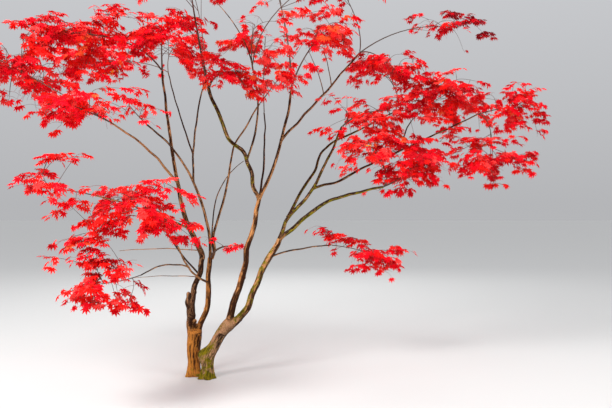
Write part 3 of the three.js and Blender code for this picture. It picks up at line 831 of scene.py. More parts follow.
newMass("outer_left_foliage", "outer_left_bough", (-1.46, -0.7, 2.67), (0.5, 0.52, 0.345), 6, "bright",
        fullness=1.2, drop=(-0.12, 0), sprays=[
        (-1.37, 3.02), (-1.24, 3.05), (-1.47, 2.4), (-1.26, 2.34), (-0.98, 2.52), (-1.14, 2.98),
        (-0.94, 3.02), (-1.14, 3.09), (-1.22, 2.67), (-1.3, 2.92), (-1.38, 2.76), (-1.47, 2.44),
        (-1.17, 3.07)])
newMass("upper_left_low_foliage", "outer_left_bough", (-0.85, -1, 2.3), (0.34, 0.38, 0.22), 4, "bright",
        fullness=1.2, sprays=[
        (-0.95, 2.16), (-1.07, 2.23), (-0.65, 2.25), (-0.72, 2.29), (-0.58, 2.26), (-0.53, 2.38),
        (-0.43, 2.43), (-0.99, 2.22), (-1.05, 2.25), (-0.84, 2.22), (-0.62, 2.29), (-0.77, 2.22)])
newMass("upper_left_foliage", "left_leader", (-1.01, -0.56, 2.92), (0.38, 0.45, 0.265), 5, "bright",
        fullness=1.1, drop=(-0.1, 0), sprays=[
        (-0.65, 3.15), (-0.7, 3.2), (-0.82, 3.08), (-0.54, 2.87), (-0.56, 2.79), (-0.61, 2.93), (-0.8, 2.61),
        (-0.92, 2.65), (-0.54, 3.09), (-0.54, 2.7), (-0.57, 3.12)])
newMass("upper_left_inner_foliage", "left_leader", (-0.29, -0.5, 2.955), (0.43, 0.45, 0.23), 5, "bright",
        fullness=0.9, sprays=[
        (-0.15, 3.18), (-0.1, 3.06), (-0.41, 3.15), (0.15, 2.74), (0.05, 2.82), (-0.14, 2.76)])
newMass("inner_left_spray", "inner_left_bough", (-0.53, -0.5, 2.345), (0.175, 0.19, 0.085), 2, "rosy",
        sprays=[(-0.76, 2.42), (-0.56, 2.44), (-0.35, 2.35), (-0.43, 2.26)])
newMass("left_mid_foliage", "low_left_bough", (-0.31, -1.15, 1.5), (0.46, 0.43, 0.24), 6, "bright",
        fullness=1.2, drop=(-0.24, 0), sprays=[
        (-0.02, 1.3), (0.06, 1.32), (0.03, 1.62), (-0.21, 1.74), (-0.39, 1.7), (-0.61, 1.7), (-0.68, 1.45),
        (-0.21, 1.39), (-0.87, 1.3), (-0.89, 1.6), (-0.1, 1.56), (-0.24, 1.67), (-0.13, 1.67), (0.05, 1.42),
        (-0.01, 1.3), (-0.19, 1.39), (-0.77, 1.61), (-0.4, 1.46), (-0.51, 1.37)])
newMass("left_weeping_foliage", "weeping_bough", (-0.57, -1.21, 1), (0.31, 0.33, 0.265), 4, "bright",
        drop=(0.15, 0), sprays=[
        (-0.81, 0.93), (-0.65, 0.85), (-0.72, 0.88), (-0.38, 0.83), (-0.47, 0.84), (-0.63, 1.14),
        (-0.54, 1.16), (-0.96, 1.18), (-0.74, 1.32), (-0.65, 1.26), (-0.7, 1.19), (-0.59, 1.17),
        (-0.61, 0.85), (-0.57, 1.32), (-0.66, 1.07), (-0.75, 1.3), (-0.45, 1.04), (-0.64, 0.84),
        (-0.74, 0.89), (-0.37, 0.85), (-0.72, 1.33)])
newMass("far_left_foliage", "far_left_bough", (-1.06, -0.96, 1.69), (0.31, 0.3, 0.17), 4, "bright",
        drop=(0.45, 0), sprays=[
        (-1.05, 1.92), (-0.84, 1.94), (-0.97, 1.52), (-1.21, 1.7), (-0.97, 1.95), (-1.05, 1.94)])
newMass("back_low_left_foliage", "back_low_left_bough", (-0.98, 0.93, 1.59), (0.42, 0.43, 0.22), 5, "deep",
        drop=(-0.1, 0.1))
newMass("fork_spray", "fork_bough", (0.23, 0.02, 1.175), (0.12, 0.13, 0.075), 2, "bright", drop=(0.25, 0),
        sprays=[(0.02, 1.26)])
newMass("centre_low_foliage", "mossy_bough", (0.205, -0.27, 2.67), (0.32, 0.33, 0.165), 3, "bright",
        fullness=1.1, drop=(0.26, 0), sprays=[
        (0.1, 2.87), (0.23, 2.8), (0.41, 2.54), (0.36, 2.6), (0.42, 2.65), (0.49, 2.56), (0.42, 2.5),
        (0.66, 2.59), (0.37, 2.67), (0.29, 2.7), (0.13, 2.64), (0.21, 2.7), (0.37, 2.72)])
newMass("centre_foliage", "tall_bough", (0.44, -0.08, 3.09), (0.38, 0.43, 0.175), 5, "rosy", fullness=0.4,
        drop=(0.1, 0), sprays=[
        (0.24, 3.02), (0.48, 3.23), (0.69, 3.27), (0.51, 2.92), (0.58, 2.86), (0.67, 3.14), (0.51, 2.84),
        (0.71, 2.93)])
newMass("centre_middle_foliage", "slender_bough", (0.64, -0.06, 2.66), (0.32, 0.31, 0.15), 4, "rosy",
        fullness=0.5, drop=(0.15, 0))
newMass("centre_right_foliage", "leader", (1.05, 0.22, 3.12), (0.36, 0.42, 0.235), 5, "rosy", fullness=0.5,
        drop=(0.1, 0), sprays=[
        (1.05, 3.34), (1.26, 3), (0.92, 2.86), (0.75, 2.88), (0.96, 3.04), (0.9, 3.08)])
newMass("top_left_foliage", "upright_bough", (-0.18, 0.06, 3.6), (0.48, 0.52, 0.24), 5, "bright",
        drop=(-0.15, 0), sprays=[(-0.2, 3.22), (-0.15, 3.26), (-0.08, 3.11)])
newMass("top_centre_foliage", "leader", (0.48, 0.12, 3.9), (0.56, 0.56, 0.27), 6, "rosy", sprays=[
        (0.52, 3.4), (0.84, 3.35), (1.1, 3.35)])
newMass("top_right_foliage", "long_right_bough", (1.18, 0.3, 3.62), (0.48, 0.52, 0.23), 5, "bright",
        drop=(0.15, 0), sprays=[(1.32, 3.33)])
newMass("right_upper_foliage", "long_right_bough", (1.69, 0.48, 2.895), (0.38, 0.4, 0.165), 4, "deep",
        fullness=0.9, drop=(0.1, 0), sprays=[
        (1.91, 2.85), (2.1, 2.75), (1.99, 2.78), (1.57, 2.8), (1.73, 2.83), (1.82, 2.92), (1.94, 2.92)])
# Its leaves take the dark tints, as painted shade at the back of the crown
newMass("far_right_back_foliage", "long_right_bough", (2.5, 1.45, 3.5), (0.48, 0.42, 0.21), 4, "dark",
        fullness=0.5, drop=(0.2, 0), sprays=[(2.11, 3.66), (2.5, 3.72), (2.55, 3.7), (2.87, 3.46)])
newMass("right_centre_foliage", "right_centre_bough", (2.23, 0.48, 2.6), (0.46, 0.48, 0.3), 6, "deep",
        drop=(0.12, 0), sprays=[
        (2.12, 2.83), (2.35, 2.86), (1.93, 2.45), (2.28, 2.28), (2.57, 2.62), (2.51, 2.5), (2.2, 2.78),
        (2.47, 2.71), (1.7, 2.59)])
newMass("right_inner_upper_foliage", "upper_right_bough", (1.53, 0.18, 2.39), (0.37, 0.34, 0.215), 3, "rosy",
        fullness=1.5, sprays=[
        (1.12, 2.58), (1.28, 2.56), (1.26, 2.25), (1.59, 2.16), (1.72, 2.22), (1.72, 2.42), (1.91, 2.17),
        (1.99, 2.35), (1.26, 2.46), (1.21, 2.21), (1.33, 2.16), (1.59, 2.23), (1.7, 2.37), (1.47, 2.25),
        (1.71, 2.3), (1.08, 2.26)])
newMass("right_inner_low_foliage", "low_right_bough", (1.48, -0.06, 2.04), (0.29, 0.3, 0.18), 3, "rosy",
        fullness=1.5, drop=(-0.15, 0), sprays=[
        (1.3, 1.9), (1.29, 2.11), (1.25, 1.98), (1.31, 2.05), (1.6, 2.07), (1.4, 1.98)])
newMass("right_low_foliage", "low_right_bough", (1.88, 0.08, 1.955), (0.345, 0.4, 0.29), 5, "deep",
        fullness=1.5, sprays=[
        (1.56, 1.69), (1.6, 1.8), (1.8, 1.71), (2.12, 1.89), (2.1, 1.79), (1.8, 2.1), (1.71, 2.04),
        (1.71, 1.69), (1.65, 1.86), (1.85, 1.78), (2.03, 1.78), (2.26, 2.26), (1.62, 2.12), (1.85, 2.13),
        (1.95, 2.07), (1.67, 1.91)])
newMass("right_tip_foliage", "right_tip_bough", (2.89, 0.4, 2.475), (0.36, 0.43, 0.31), 5, "deep",
        fullness=0.9, drop=(0.15, 0), sprays=[
        (2.9, 2.73), (3.12, 2.44), (3.12, 2.24), (3, 2.61), (2.88, 2.63), (3.13, 2.36), (2.95, 2.59),
        (2.95, 2.31)])
newMass("right_low_outer_foliage", "right_tip_bough", (2.59, 0.16, 1.96), (0.41, 0.4, 0.215), 5, "deep",
        fullness=0.9, drop=(0.1, 0), sprays=[
        (2.92, 1.97), (2.9, 1.88), (2.65, 1.74), (2.27, 2.2), (2.83, 2.18), (2.52, 2.18), (2.41, 2.18),
        (2.72, 1.99), (2.81, 2.02), (2.92, 2.03), (2.66, 1.9), (2.28, 1.93), (2.6, 2.18), (2.93, 2.02),
        (2.67, 1.81)])
newMass("low_spray_foliage", "low_spray_bough", (1.46, 0.48, 1.09), (0.45, 0.32, 0.18), 5, "deep",
        fullness=1.1, drop=(0.34, 0), sprays=[
        (1.03, 1.35), (1.11, 1.31), (1.4, 0.96), (1.67, 0.91), (1.81, 1.12), (1.28, 1.22), (1.52, 0.96),
        (1.76, 1.16), (1.7, 0.96), (1.14, 1.27), (1.19, 1.28)])
newMass("back_centre_foliage", "back_bough", (0.45, 1.45, 3.33), (0.56, 0.52, 0.28), 6, "deep", fullness=0.6,
        drop=(0, 0.15))
newMass("back_left_foliage", "back_left_bough", (-0.52, 1.15, 3.18), (0.5, 0.5, 0.26), 5, "deep",
        fullness=0.6, drop=(-0.1, 0.1))
newMass("back_outer_left_foliage", "back_left_bough", (-1.28, 0.52, 2.9), (0.46, 0.48, 0.25), 5, "deep",
        fullness=0.6, drop=(-0.2, 0))
newMass("back_right_foliage", "parallel_bough", (1.72, 1.52, 3.08), (0.45, 0.48, 0.24), 5, "deep",
        fullness=0.6, drop=(0, 0.1))
newMass("back_outer_right_foliage", "parallel_bough", (2.64, 1.35, 2.6), (0.46, 0.48, 0.25), 5, "deep",
        fullness=0.6, drop=(0.15, 0.1))
newMass("front_left_foliage", "mossy_bough", (0.04, -1.13, 3.24), (0.52, 0.44, 0.23), 5, "bright",
        drop=(-0.05, -0.1))
newMass("front_right_foliage", "tall_bough", (1.18, -1.06, 3.27), (0.52, 0.44, 0.22), 5, "bright",
        drop=(0.1, -0.1))


# Where the photo shows sky through the crown, as the camera sees it in the plane of the trunk: the
# x and z of each gap, by radius
skyGaps = {
    0.04: [(-1.15, 0.59), (-1.23, 0.64), (-0.94, 2.57), (-1.09, 2.64), (-1.4, 2.71), (-1.03, 2.72),
        (-0.89, 0.62), (-0.74, 0.81), (-0.64, 0.88), (-0.37, 1.31), (-0.61, 1.42), (-0.85, 1.49),
        (-0.61, 2.28), (-0.79, 2.36), (-0.76, 2.52), (-0.62, 2.56), (-0.77, 2.57), (-0.12, 1.19),
        (-0.25, 1.51), (-0.18, 1.57), (-0.29, 2.86), (-0.27, 2.95), (0.85, 2.74), (0.6, 2.83), (0.68, 2.84),
        (0.5, 2.9), (0.6, 2.95), (0.44, 3.01), (1.35, 1.12), (1.03, 1.22), (1.48, 1.88), (1.45, 2.68),
        (1.57, 1.14), (1.73, 2.01), (2.06, 2.16), (1.62, 2.7), (2.65, 2.05), (2.33, 2.05), (2.65, 2.52),
        (2.96, 1.86), (2.91, 2.34), (2.83, 2.44), (2.7, 2.44), (2.84, 2.63)],
    0.05: [(-1.58, 1.85), (-1.26, 0.69), (-1.15, 0.87), (-1.21, 1.04), (-1.31, 1.92), (-1.09, 1.94),
        (-1.3, 2.25), (-1, 2.61), (-1.31, 2.75), (-0.7, 0.56), (-0.54, 0.62), (-0.61, 0.99), (-0.41, 1.26),
        (-0.65, 1.32), (-0.84, 2.32), (-0.63, 2.38), (0.02, 1.33), (-0.28, 1.68), (-0.13, 1.76),
        (-0.23, 2.75), (0.32, 2.52), (0.5, 3.19), (1.19, 1.17), (1.16, 1.94), (1.16, 2.01), (1.16, 2.12),
        (1.22, 2.38), (1.25, 2.48), (1.03, 2.89), (1.16, 2.91), (1.8, 1.09), (1.55, 1.67), (2.66, 1.72),
        (2.47, 1.76), (2.51, 2.03), (2.65, 2.29), (2.29, 2.36), (2.72, 1.77), (2.99, 2.5)],
    0.06: [(-1.67, 1.7), (-1.54, 2.33), (-1.36, 0.75), (-0.93, 0.84), (-1.21, 0.89), (-1.45, 1.6),
        (-1.4, 2.24), (-0.84, 0.76), (-0.66, 0.82), (-0.61, 1.53), (-0.79, 1.6), (-0.39, 2.34), (-0.49, 2.79),
        (-0.22, 1.75), (0.08, 2.65), (0.2, 3.05), (0.44, 2.77), (0.54, 3.04), (0.8, 3.13), (1.3, 1.04),
        (0.93, 1.34), (1.48, 1.66), (0.92, 3.13), (1.68, 0.92), (1.85, 1.71), (2.09, 3.18), (1.93, 3.19),
        (2.11, 2.48), (2.56, 2.5), (2.27, 2.98), (2.71, 1.85), (2.8, 2.16), (2.96, 2.18)],
    0.07: [(-1.54, 1.04), (-1.51, 2.67), (-1.34, 1.22), (-1.21, 1.44), (-1.42, 1.49), (-1.04, 1.71),
        (-1.2, 1.72), (-0.46, 2.3), (-0.03, 1.23), (-0.23, 1.57), (0.28, 2.56), (0.89, 2.92), (0.5, 3.28),
        (1.4, 1.93), (1.49, 2.43), (1.03, 2.55), (2.41, 2.29), (2.33, 2.73), (2.31, 3.08)],
    0.08: [(-1.6, 2.46), (-1.67, 2.95), (0.23, 3.14), (0.31, 2.9), (0.64, 3.1), (0.4, 3.19), (1.61, 2.62),
        (1.7, 2.89), (2.15, 1.8), (2.2, 3.02)],
    0.09: [(-1.72, 2.53), (-1, 2.29), (-0.68, 3.2), (1.3, 3.38)],
    0.1: [(-0.37, 2.9)],
    0.11: [(-1.78, 2.97), (-0.41, 3.37), (-0.05, 3.37), (1.46, 3.36)],
    0.12: [(-0.23, 3.37)],
}

growth = {
    "sprayShare": 0.66,          # a spray's length, of the mean half size of its mass
    "sprayDroop": (64, 10),      # degrees below level, in the lowest tier and the highest
    "twigHeights": (-0.92, 0.84),
    "twigStart": 0.72,
    "twigReach": 0.94,
    "twigRise": 0.1,
    "stemReach": 0.42,
    "stemOffset": 0.3,
    "stemBow": 0.14,
    "stemPieces": 12,
    "stemBare": 4,               # of these pieces, from which no single spray grows
    "spaceLimit": 1.06,          # a spray's tip may pass its space by this much
    "nodeGap": 0.082,            # along a twig, from one pair of side twigs to the next
    "nodeStart": 0.35,           # of a gap, bare at the twig's root
    "sideTurn": (72, 34),        # degrees from the twig, near its root and near its tip
    "turnScatter": 24,
    "sideDroop": (36, 2),        # degrees below level, in the lowest tier and the highest
    "droopScatter": 56,
    "sideTaper": 0.4,            # of a spray's length, that the last side twigs lose
    "sideLength": (0.7, 0.4),    # of a spray's length: the least, and the most that chance adds
    "sideLift": 28,              # degrees by which a side twig starts more level than it ends
    "shortest": 0.04,            # a side twig that would leave its space is shortened, down to this
    "shortening": 0.8,
    "gapAt": 0.7,                # of a side twig's length, where it mustn't meet a gap
    "innerShare": 0.7,           # twigs that fill the middle, to each main twig
    "innerHeights": (-0.9, 1.3),
    "innerReach": 0.52,
    "innerBases": (0.45, 0.95),  # along the stem
    "leafGap": 0.055,            # along a side twig, from one pair of leaves to the next
    "leafStart": (0.6, 0.3),     # of a gap, bare at the side twig's root and at its tip
    "leafTurn": 55,
    "leafTurnScatter": 30,
    "tipTurns": (-40, 30),
    "leafSizes": (1.05, 0.9),    # near a side twig's root, and at its tip
    "leafSpread": 0.9,           # how far a leaf's heading follows its twig rather than the mass
    "leafScatter": 120,
    "leafRoll": 100,
    "strangerShare": 0.22,       # of the leaves, whose tint isn't their spray's
    "petiole": (0.022, 0.045),
    "petioleDroop": (-10, 30),
    "leafHang": (14, 84),        # degrees below level, from petiole to tip of the middle lobe
    "leafLevel": 24,             # so much flatter at the top of a mass
    "leafLobe": (0.044, 0.061),  # length of the middle lobe
    "leafLimit": 1.14,           # as spaceLimit, for a leaf's tip
    "overhang": 0.05,            # past the box of the solids, at most
    "gapScale": (3.6, 3.6, 9.0), # of the noise that leaves gaps in a mass, so that it grows in tiers
    "gapLevel": 0.20,            # of that noise, where a gap begins in a mass of fullness 1
    "raggedness": 0.45,          # of the radius of a gap of sky
    "raggedScale": 9.0,
    "edgeGaps": 0.35,            # so many more gaps at a mass's boundary
    "edgeStart": 0.6,            # and from here out
    "strayLength": 0.11,
    "strayShares": (0.6, 1),
    "strayDroop": (-5, 35),
    "strayTurns": (-70, 70, 0),
    "strayBow": (0.55, 0.08),    # of its twig's length, along it and upwards
    "stemRadius": (0.42, 0.0026),    # of the bough's thickness at the root, then at the tip
    "twigRadius": (0.0027, 0.0014),
    "sideRadius": (0.0014, 0.0008),
    "strayRadius": (0.0020, 0.0012),
    "sides": (6, 4, 3),          # of a stem, of other twigs with bark and of young ones
    "anywhere": 9,               # a limit for sprays that stand apart
    "petioleRadius": 0.0006,
}

# A leaf blade of seven pointed lobes, folded a little along each lobe's vein, tips bent down.
# Lengths are shares of the middle lobe's length.
leafBlade = {
    "lobeTurns": (0, 37, 76, 122),
    "lobeLengths": (1.0, 0.95, 0.80, 0.46),
    "lobeWidths": (0.160, 0.155, 0.135, 0.090),
    "widest": 0.50,
    "cut": 0.33,                 # how far out the cuts between the lobes reach in
    "fold": 0.055,
    "base": (34, 0.13),          # degrees past the last lobe, and how far out, of the blade's base
    "bends": (0.10, 0.20, 0.34), # of the tips, one of these three for each leaf
}

leafTints = {
    "crimson": (0.86, 0.003, 0.014),
    "scarlet": (0.92, 0.010, 0.007),
    "ruby": (0.58, 0.002, 0.009),
    "rose": (0.98, 0.060, 0.055),
    "coral": (0.93, 0.110, 0.030),
    "amber": (0.90, 0.280, 0.025),
    # wine is painted shade: a dark tint for leaves at the back of the crown, where they lie in shade
    "wine": (0.30, 0.003, 0.012),
}

tintShares = {
    "bright": dict(crimson=0.42, scarlet=0.32, ruby=0.07, rose=0.15, coral=0.015, amber=0.002),
    "rosy": dict(crimson=0.26, scarlet=0.30, ruby=0.03, rose=0.32, coral=0.04, amber=0.004),
    "deep": dict(crimson=0.36, scarlet=0.30, ruby=0.20, rose=0.10, coral=0.015, amber=0.003),
    # painted shade: darker tints for a mass at the back of the crown, where it lies in shade
    "dark": dict(crimson=0.18, scarlet=0.08, ruby=0.35, coral=0.04, wine=0.35),
}

twigColours = {"bark": (0.085, 0.040, 0.022), "young": (0.28, 0.035, 0.022)}


def shareOut(mass, point):
    # How far out a point lies in a mass's space: 0 in the middle and 1 on its boundary
    x, y, z = point - Vector(mass["middle"])
    z += downhill(mass, x, y)
    return math.hypot(x / mass["half"][0], y / mass["half"][1], z / mass["half"][2])


def downhill(mass, x, y):
    # How far a mass's space has fallen at a place beside its middle
    return mass["drop"][0] * x + mass["drop"][1] * y


def hang(direction, droop):
    # A direction turned to the same heading and so many degrees below level
    ahead = Vector((direction.x, direction.y, 0)).normalized()
    return ahead * math.cos(math.radians(droop)) - up * math.sin(math.radians(droop))


def turned(direction, degrees):
    return Quaternion(up, math.radians(degrees)) @ direction


def between(name, share):
    return mix(*growth[name], share)


def scatter(name, random):
    # A chance part of this measure, from half of it to one side to half of it to the other
    return growth[name] * (random() - 0.5)


def twigAims(mass):
    # Places near the boundary of the mass's space, from its top down, a golden turn apart
    aims = []
    for index in range(mass["twigs"]):
        level = 1 - (index + 0.5) / mass["twigs"]
        height = between("twigHeights", level)
        ring = math.sqrt(1 - height * height)
        parts = (ring * math.cos(index * goldenTurn), ring * math.sin(index * goldenTurn), height)
        x, y, z = (growth["twigReach"] * size * part for size, part in zip(mass["half"], parts))
        z -= downhill(mass, x, y)
        aims.append((level, Vector(mass["middle"]) + Vector((x, y, z))))
    return aims


def massStem(mass, bough):
    # From the side of the bough's tip that faces the mass, on through the mass's middle
    tip, middle = bough["path"][-1], Vector(mass["middle"])
    heading = bough["frames"][-1][0]
    onward = middle - tip
    aside = (onward - heading * onward.dot(heading)).normalized()
    start = tip + aside * bough["limb"]["thin"] * growth["stemOffset"]
    end = middle + onward * growth["stemReach"] / shareOut(mass, middle + onward)
    lead = heading * (end - start).length - (end - start)
    pull = (start + end) / 2 + 2 * growth["stemBow"] * lead
    return curvePoints(start, pull, end, growth["stemPieces"])


def twigsOf(mass, stem, sprayLength):
    # In the order in which the stem passes their aims, each with its elbow and its hanging tip
    chord = stem[-1] - stem[0]
    aims = sorted(twigAims(mass), key=lambda aim: aim[1].dot(chord))
    entry = shareOut(mass, stem[0])
    first = max(entry - growth["twigStart"], growth["twigRise"]) / (entry + growth["stemReach"])
    twigs = []
    for index, (level, aim) in enumerate(aims):
        base = placeOn(stem, mix(first, 1, index / (len(aims) - 1)))
        axis = hang(aim - base, between("sprayDroop", level))
        twigs.append(dict(level=level, path=curvePoints(base, aim - axis * sprayLength, aim, 10)))
    return twigs


def pick(shares, random):
    draw = random() * sum(shares.values())
    for name, share in shares.items():
        draw -= share
        if draw <= 0:
            return name
    return name


def growLeaf(mass, foliage, node, direction, tint, random, size, limit):
    # A leaf that hangs from a node on its petiole, with its face turned away from the mass's middle
    joint = node + hang(direction, between("petioleDroop", random())) * between("petiole", random()) * size
    outward = joint - Vector(mass["middle"])
    outward.z = 0
    heading = direction.normalized() * growth["leafSpread"] + outward.normalized()
    heading = turned(heading, scatter("leafScatter", random))
    level = (joint.z - mass["middle"][2]) / mass["half"][2]
    droop = between("leafHang", random()) - growth["leafLevel"] * max(0.0, level)
    roll = Quaternion(heading.normalized(), math.radians(scatter("leafRoll", random)))
    axis = roll @ hang(heading, droop)
    normal = hang(heading, droop - 90)
    normal = (normal - axis * normal.dot(axis)).normalized()
    length = between("leafLobe", random()) * size
    tip = joint + axis * length
    if not within(mass, tip, limit or growth["leafLimit"]) or inSky(tip):
        return
    if random() < growth["strangerShare"]:
        tint = pick(tintShares[mass["tints"]], random)
    foliage["leaves"].append((joint, axis, normal, length, tint, int(random() * len(leafBlade["bends"]))))
    foliage["petioles"].append((node, joint))


def within(mass, point, limit):
    low, high = cadBox
    past = growth["overhang"]
    return shareOut(mass, point) < limit and all(low[k] - past < point[k] < high[k] + past for k in range(3))


def inSky(place):
    # Whether the camera sees sky there; the gaps have ragged edges
    eye = Vector(cameraView["place"])
    seen = eye + (place - eye) * eye.y / (eye.y - place.y)
    ragged = 1 + growth["raggedness"] * noise.noise(place * growth["raggedScale"])
    return any(math.hypot(seen.x - x, seen.z - z) < radius * ragged
               for radius, gaps in skyGaps.items() for x, z in gaps)


def hasGap(mass, place):
    # Whether a mass leaves this place free
    if inSky(place):
        return True
    cell = Vector([place[k] * growth["gapScale"][k] for k in range(3)])
    edge = max(0.0, shareOut(mass, place) - growth["edgeStart"])
    return noise.noise(cell) > growth["gapLevel"] * mass["fullness"] - growth["edgeGaps"] * edge


def growStray(mass, foliage, tip, random):
    # A thin twig from the nearest place on the mass's twigs, that ends in a few sprays about its tip
    base = min(foliage["nodes"], key=lambda point: (point - tip).length)
    way = tip - base
    onward, lift = growth["strayBow"]
    path = curvePoints(base, base + way * onward + up * lift * way.length, tip, 6)
    foliage["twigs"].append((path, growth["strayRadius"], "bark"))
    along = path[-1] - path[-2]
    for turn in growth["strayTurns"]:
        node = placeOn(path, 0.9) if turn else tip
        length = growth["strayLength"] * between("strayShares", random())
        droop = between("strayDroop", random())
        growSideTwig(mass, foliage, node, turned(along, turn), length, droop, random, growth["anywhere"])


def growSideTwig(mass, foliage, node, heading, length, droop, random, limit=None):
    # A side twig that leaves nearly level and then hangs, with leaves in pairs and at its tip
    tip = node + hang(heading, droop) * length
    path = curvePoints(node, node + hang(heading, droop - growth["sideLift"]) * length * 0.5, tip, 4)
    foliage["twigs"].append((path, growth["sideRadius"], "young"))
    tint = pick(tintShares[mass["tints"]], random)
    count = max(1, round(length / growth["leafGap"]))
    bare, spare = growth["leafStart"]
    for n in range(count):
        share = (n + bare) / (count + spare)
        place = placeOn(path, share)
        along = placeOn(path, share + 0.05) - place
        for side in (-1, 1):
            heading = turned(along, side * (growth["leafTurn"] + scatter("leafTurnScatter", random)))
            size = between("leafSizes", share)
            growLeaf(mass, foliage, place, heading, tint, random, size, limit)
    along = path[-1] - path[-2]
    for turn in growth["tipTurns"]:
        heading = turned(along, turn + scatter("leafTurnScatter", random))
        growLeaf(mass, foliage, tip, heading, tint, random, growth["leafSizes"][1], limit)


def growMainTwig(mass, foliage, path, level, sprayLength, random):
    # Side twigs leave a main twig in pairs, turned and lifted a little differently each time,
    # and the main twig ends at the last of them
    count = max(2, round(pathLength(path) / growth["nodeGap"]))
    base, extra = growth["sideLength"]
    leafy = 0
    for n in range(count + 1):
        share = (n + growth["nodeStart"]) / (count + growth["nodeStart"])
        node = placeOn(path, share)
        along = placeOn(path, share + 0.05) - placeOn(path, share - 0.05)
        for side in (-1, 1) if n < count else (0,):
            turn = between("sideTurn", share) + scatter("turnScatter", random)
            heading = turned(along, side * turn)
            droop = between("sideDroop", level) + scatter("droopScatter", random)
            way = hang(heading, droop)
            reach = sprayLength * (1 - growth["sideTaper"] * share) * (base + extra * random())
            while reach > growth["shortest"] and not within(mass, node + way * reach, growth["spaceLimit"]):
                reach *= growth["shortening"]
            if not hasGap(mass, node + way * reach * growth["gapAt"]):
                growSideTwig(mass, foliage, node, heading, reach, droop, random)
                leafy = share
    if leafy:
        path = [placeOn(path, leafy * i / 10) for i in range(11)]
        foliage["twigs"].append((path, growth["twigRadius"], "bark"))
        foliage["nodes"] += path[1:]


def innerTwigs(mass, stem, sprayLength):
    # Shorter twigs between the main ones, which fill the middle of the mass
    twigs = []
    count = round(mass["twigs"] * growth["innerShare"])
    for index in range(count):
        level = (index + 0.5) / count
        turn = (index + 0.5) * goldenTurn
        offset = Vector((math.cos(turn) * mass["half"][0], math.sin(turn) * mass["half"][1],
                         between("innerHeights", level) * mass["half"][2])) * growth["innerReach"]
        offset.z -= downhill(mass, offset.x, offset.y)
        aim = Vector(mass["middle"]) + offset
        base = placeOn(stem, between("innerBases", level))
        axis = hang(aim - base, between("sprayDroop", level))
        twigs.append(dict(level=level, path=curvePoints(base, aim - axis * sprayLength * 0.5, aim, 8)))
    return twigs


def growMass(mass, seed):
    random = seeded(seed)
    bough = grownLimbs[mass["bough"]]
    stem = massStem(mass, bough)
    sprayLength = growth["sprayShare"] * math.prod(mass["half"]) ** (1 / 3)
    foliage = dict(leaves=[], petioles=[], twigs=[], nodes=stem[growth["stemBare"]:])
    thick = (growth["stemRadius"][0] * bough["limb"]["thin"], growth["stemRadius"][1])
    foliage["twigs"].append((stem, thick, "bark"))
    for twig in twigsOf(mass, stem, sprayLength) + innerTwigs(mass, stem, sprayLength):
        growMainTwig(mass, foliage, twig["path"], twig["level"], sprayLength, random)
    for x, z in mass["sprays"]:
        growStray(mass, foliage, Vector((x, mass["middle"][1], z)), random)
    return foliage


def bladeShape(bend):
    # Vertices (across, along, up) and triangles of one leaf blade
    turns, lengths, widths = (leafBlade[k] for k in ("lobeTurns", "lobeLengths", "lobeWidths"))
    lobes = [(side * turns[k], lengths[k], widths[k]) for side, ks in ((-1, (3, 2, 1)), (1, (0, 1, 2, 3)))
             for k in ks]
    vertices = [(0, 0, 0)]

    def add(degrees, out, aside, lift):
        turn = math.radians(degrees)
        x = out * math.sin(turn) + aside * math.cos(turn)
        y = out * math.cos(turn) - aside * math.sin(turn)
        vertices.append((x, y, lift - bend * (x * x + y * y)))
        return len(vertices) - 1

    fold, (past, baseOut) = leafBlade["fold"], leafBlade["base"]
    cuts = [add(lobes[0][0] - past, baseOut, 0, fold / 2)]
    for (turn, length, _), (nextTurn, nextLength, _) in zip(lobes, lobes[1:]):
        cuts.append(add((turn + nextTurn) / 2, leafBlade["cut"] * min(length, nextLength), 0, fold))
    cuts.append(add(lobes[-1][0] + past, baseOut, 0, fold / 2))
    triangles = []
    for k, (turn, length, width) in enumerate(lobes):
        middle = (turn, length * leafBlade["widest"])
        left = add(*middle, -width, fold * length)
        right = add(*middle, width, fold * length)
        tip = add(turn, length, 0, 0)
        triangles += [(0, left, cuts[k]), (0, tip, left), (0, right, tip), (0, cuts[k + 1], right)]
    return np.array(vertices), np.array(triangles)


def makeLeaves(name, leaves, materials):
    shapes = [bladeShape(bend) for bend in leafBlade["bends"]]
    joint, axis, normal, size, tints, kinds = (np.array(column) for column in zip(*leaves))
    corners = np.array([shapes[kind][0] for kind in kinds])
    frames = np.stack([np.cross(axis, normal), axis, normal], 1)
    vertices = joint[:, None] + size[:, None, None] * np.einsum("nvk,nkc->nvc", corners, frames)
    triangles = shapes[0][1]
    faces = triangles[None] + np.arange(len(leaves))[:, None, None] * corners.shape[1]
    tintIndex = np.repeat([list(leafTints).index(tint) for tint in tints], len(triangles))
    return newMesh(name, vertices, faces.reshape(-1, 3), materials, tintIndex)


def twigTube(path, radii, sides):
    # A tube of quads, open at its ends, which other twigs and leaves hide
    last = len(path) - 1
    rings = []
    for i, (centre, (_, across, aside)) in enumerate(zip(path, ringFrames(path))):
        radius = mix(*radii, i / last)
        rings += [centre + (across * math.cos(t) + aside * math.sin(t)) * radius
                  for t in (2 * math.pi * k / sides for k in range(sides))]
    return np.array(rings), np.array(tubeQuads(last, sides))


def makeTwigs(name, foliage, materials):
    vertices, faces, kinds, start = [], [], [], 0
    stemSides, twigSides, youngSides = growth["sides"]
    petioles = [(pair, (growth["petioleRadius"],) * 2, "young") for pair in foliage["petioles"]]
    for path, radii, kind in foliage["twigs"] + petioles:
        sides = youngSides if kind == "young" else twigSides
        if radii[0] > growth["twigRadius"][0]:       # only a mass's stem is thicker
            sides = stemSides
        points, quads = twigTube(path, radii, sides)
        vertices.append(points)
        faces.append(quads + start)
        kinds += [list(twigColours).index(kind)] * len(quads)
        start += len(points)
    return newMesh(name, np.concatenate(vertices), np.concatenate(faces), materials, kinds, smooth=True)


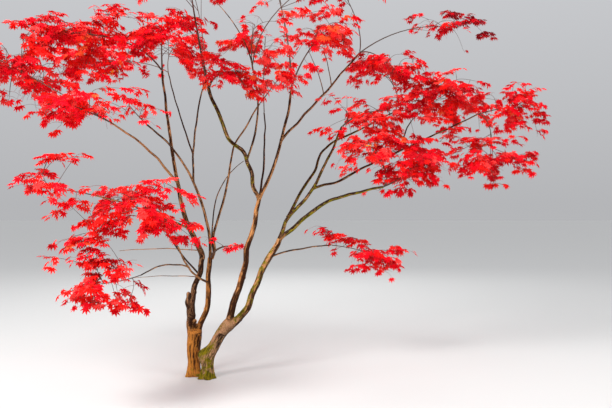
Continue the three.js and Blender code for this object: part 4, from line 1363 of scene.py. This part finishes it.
def makeFoliage():
    leafMaterials = [plainMaterial("leaf_" + name, colour, 0.45, 0.07) for name, colour in leafTints.items()]
    twigMaterials = [plainMaterial("twig_" + name, colour, 0.6) for name, colour in twigColours.items()]
    total = 0
    for seed, mass in enumerate(masses, 1):
        foliage = growMass(mass, seed)
        leaves = makeLeaves(mass["name"] + "_leaves", foliage["leaves"], leafMaterials)
        twigs = makeTwigs(mass["name"] + "_twigs", foliage, twigMaterials)
        for made, slot in ((leaves, "leaf"), (twigs, "bark")):
            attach(made, "root")
            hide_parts(mass["name"])
        total += len(foliage["leaves"])
    print("leaves", total)


makeFoliage()


# A plain pale floor and soft light from all round

studio = {
    "floor": (0.64, 0.635, 0.62),
    "floorHalf": 60.0,
    "skyLow": (0.46, 0.465, 0.48),       # at the horizon, about as bright as the floor there
    "skyHigh": (0.86, 0.88, 0.92),
    "lamps": {
        "key": dict(place=(-3.5, -5.5, 7.0), aim=(0.5, 0, 2.2), size=3.0, watts=860),
        "fill": dict(place=(6.5, -3.0, 5.0), aim=(0.5, 0, 2.2), size=3.0, watts=170),
        "back": dict(place=(0.5, 7.5, 6.5), aim=(0.5, 0, 2.4), size=5.0, watts=240),
    },
}


def makeStudio():
    half = studio["floorHalf"]
    corners = [(-half, -half, 0), (half, -half, 0), (half, half, 0), (-half, half, 0)]
    material = plainMaterial("pale_floor", studio["floor"], 0.9, 0.2)
    floor = newMesh("floor", corners, [(0, 1, 2, 3)], [material])
    world = bpy.data.worlds.new("soft_sky")
    world.use_nodes = True
    tree = world.node_tree
    height = addNode(tree, "ShaderNodeSeparateXYZ", {
        0: addNode(tree, "ShaderNodeTexCoord").outputs["Generated"]}).outputs["Z"]
    colour = mixColour(tree, height, studio["skyLow"], studio["skyHigh"])
    tree.links.new(colour, tree.nodes["Background"].inputs["Color"])
    bpy.context.scene.world = world
    for name, lamp in studio["lamps"].items():
        data = bpy.data.lights.new(name, "AREA")
        data.energy = lamp["watts"]
        data.size = lamp["size"]
        made = addObject(name, data)
        made.location = lamp["place"]
        aim = Vector(lamp["aim"]) - Vector(lamp["place"])
        made.rotation_euler = aim.to_track_quat("-Z", "Y").to_euler()
    bpy.context.scene.view_settings.view_transform = "Standard"


makeStudio()
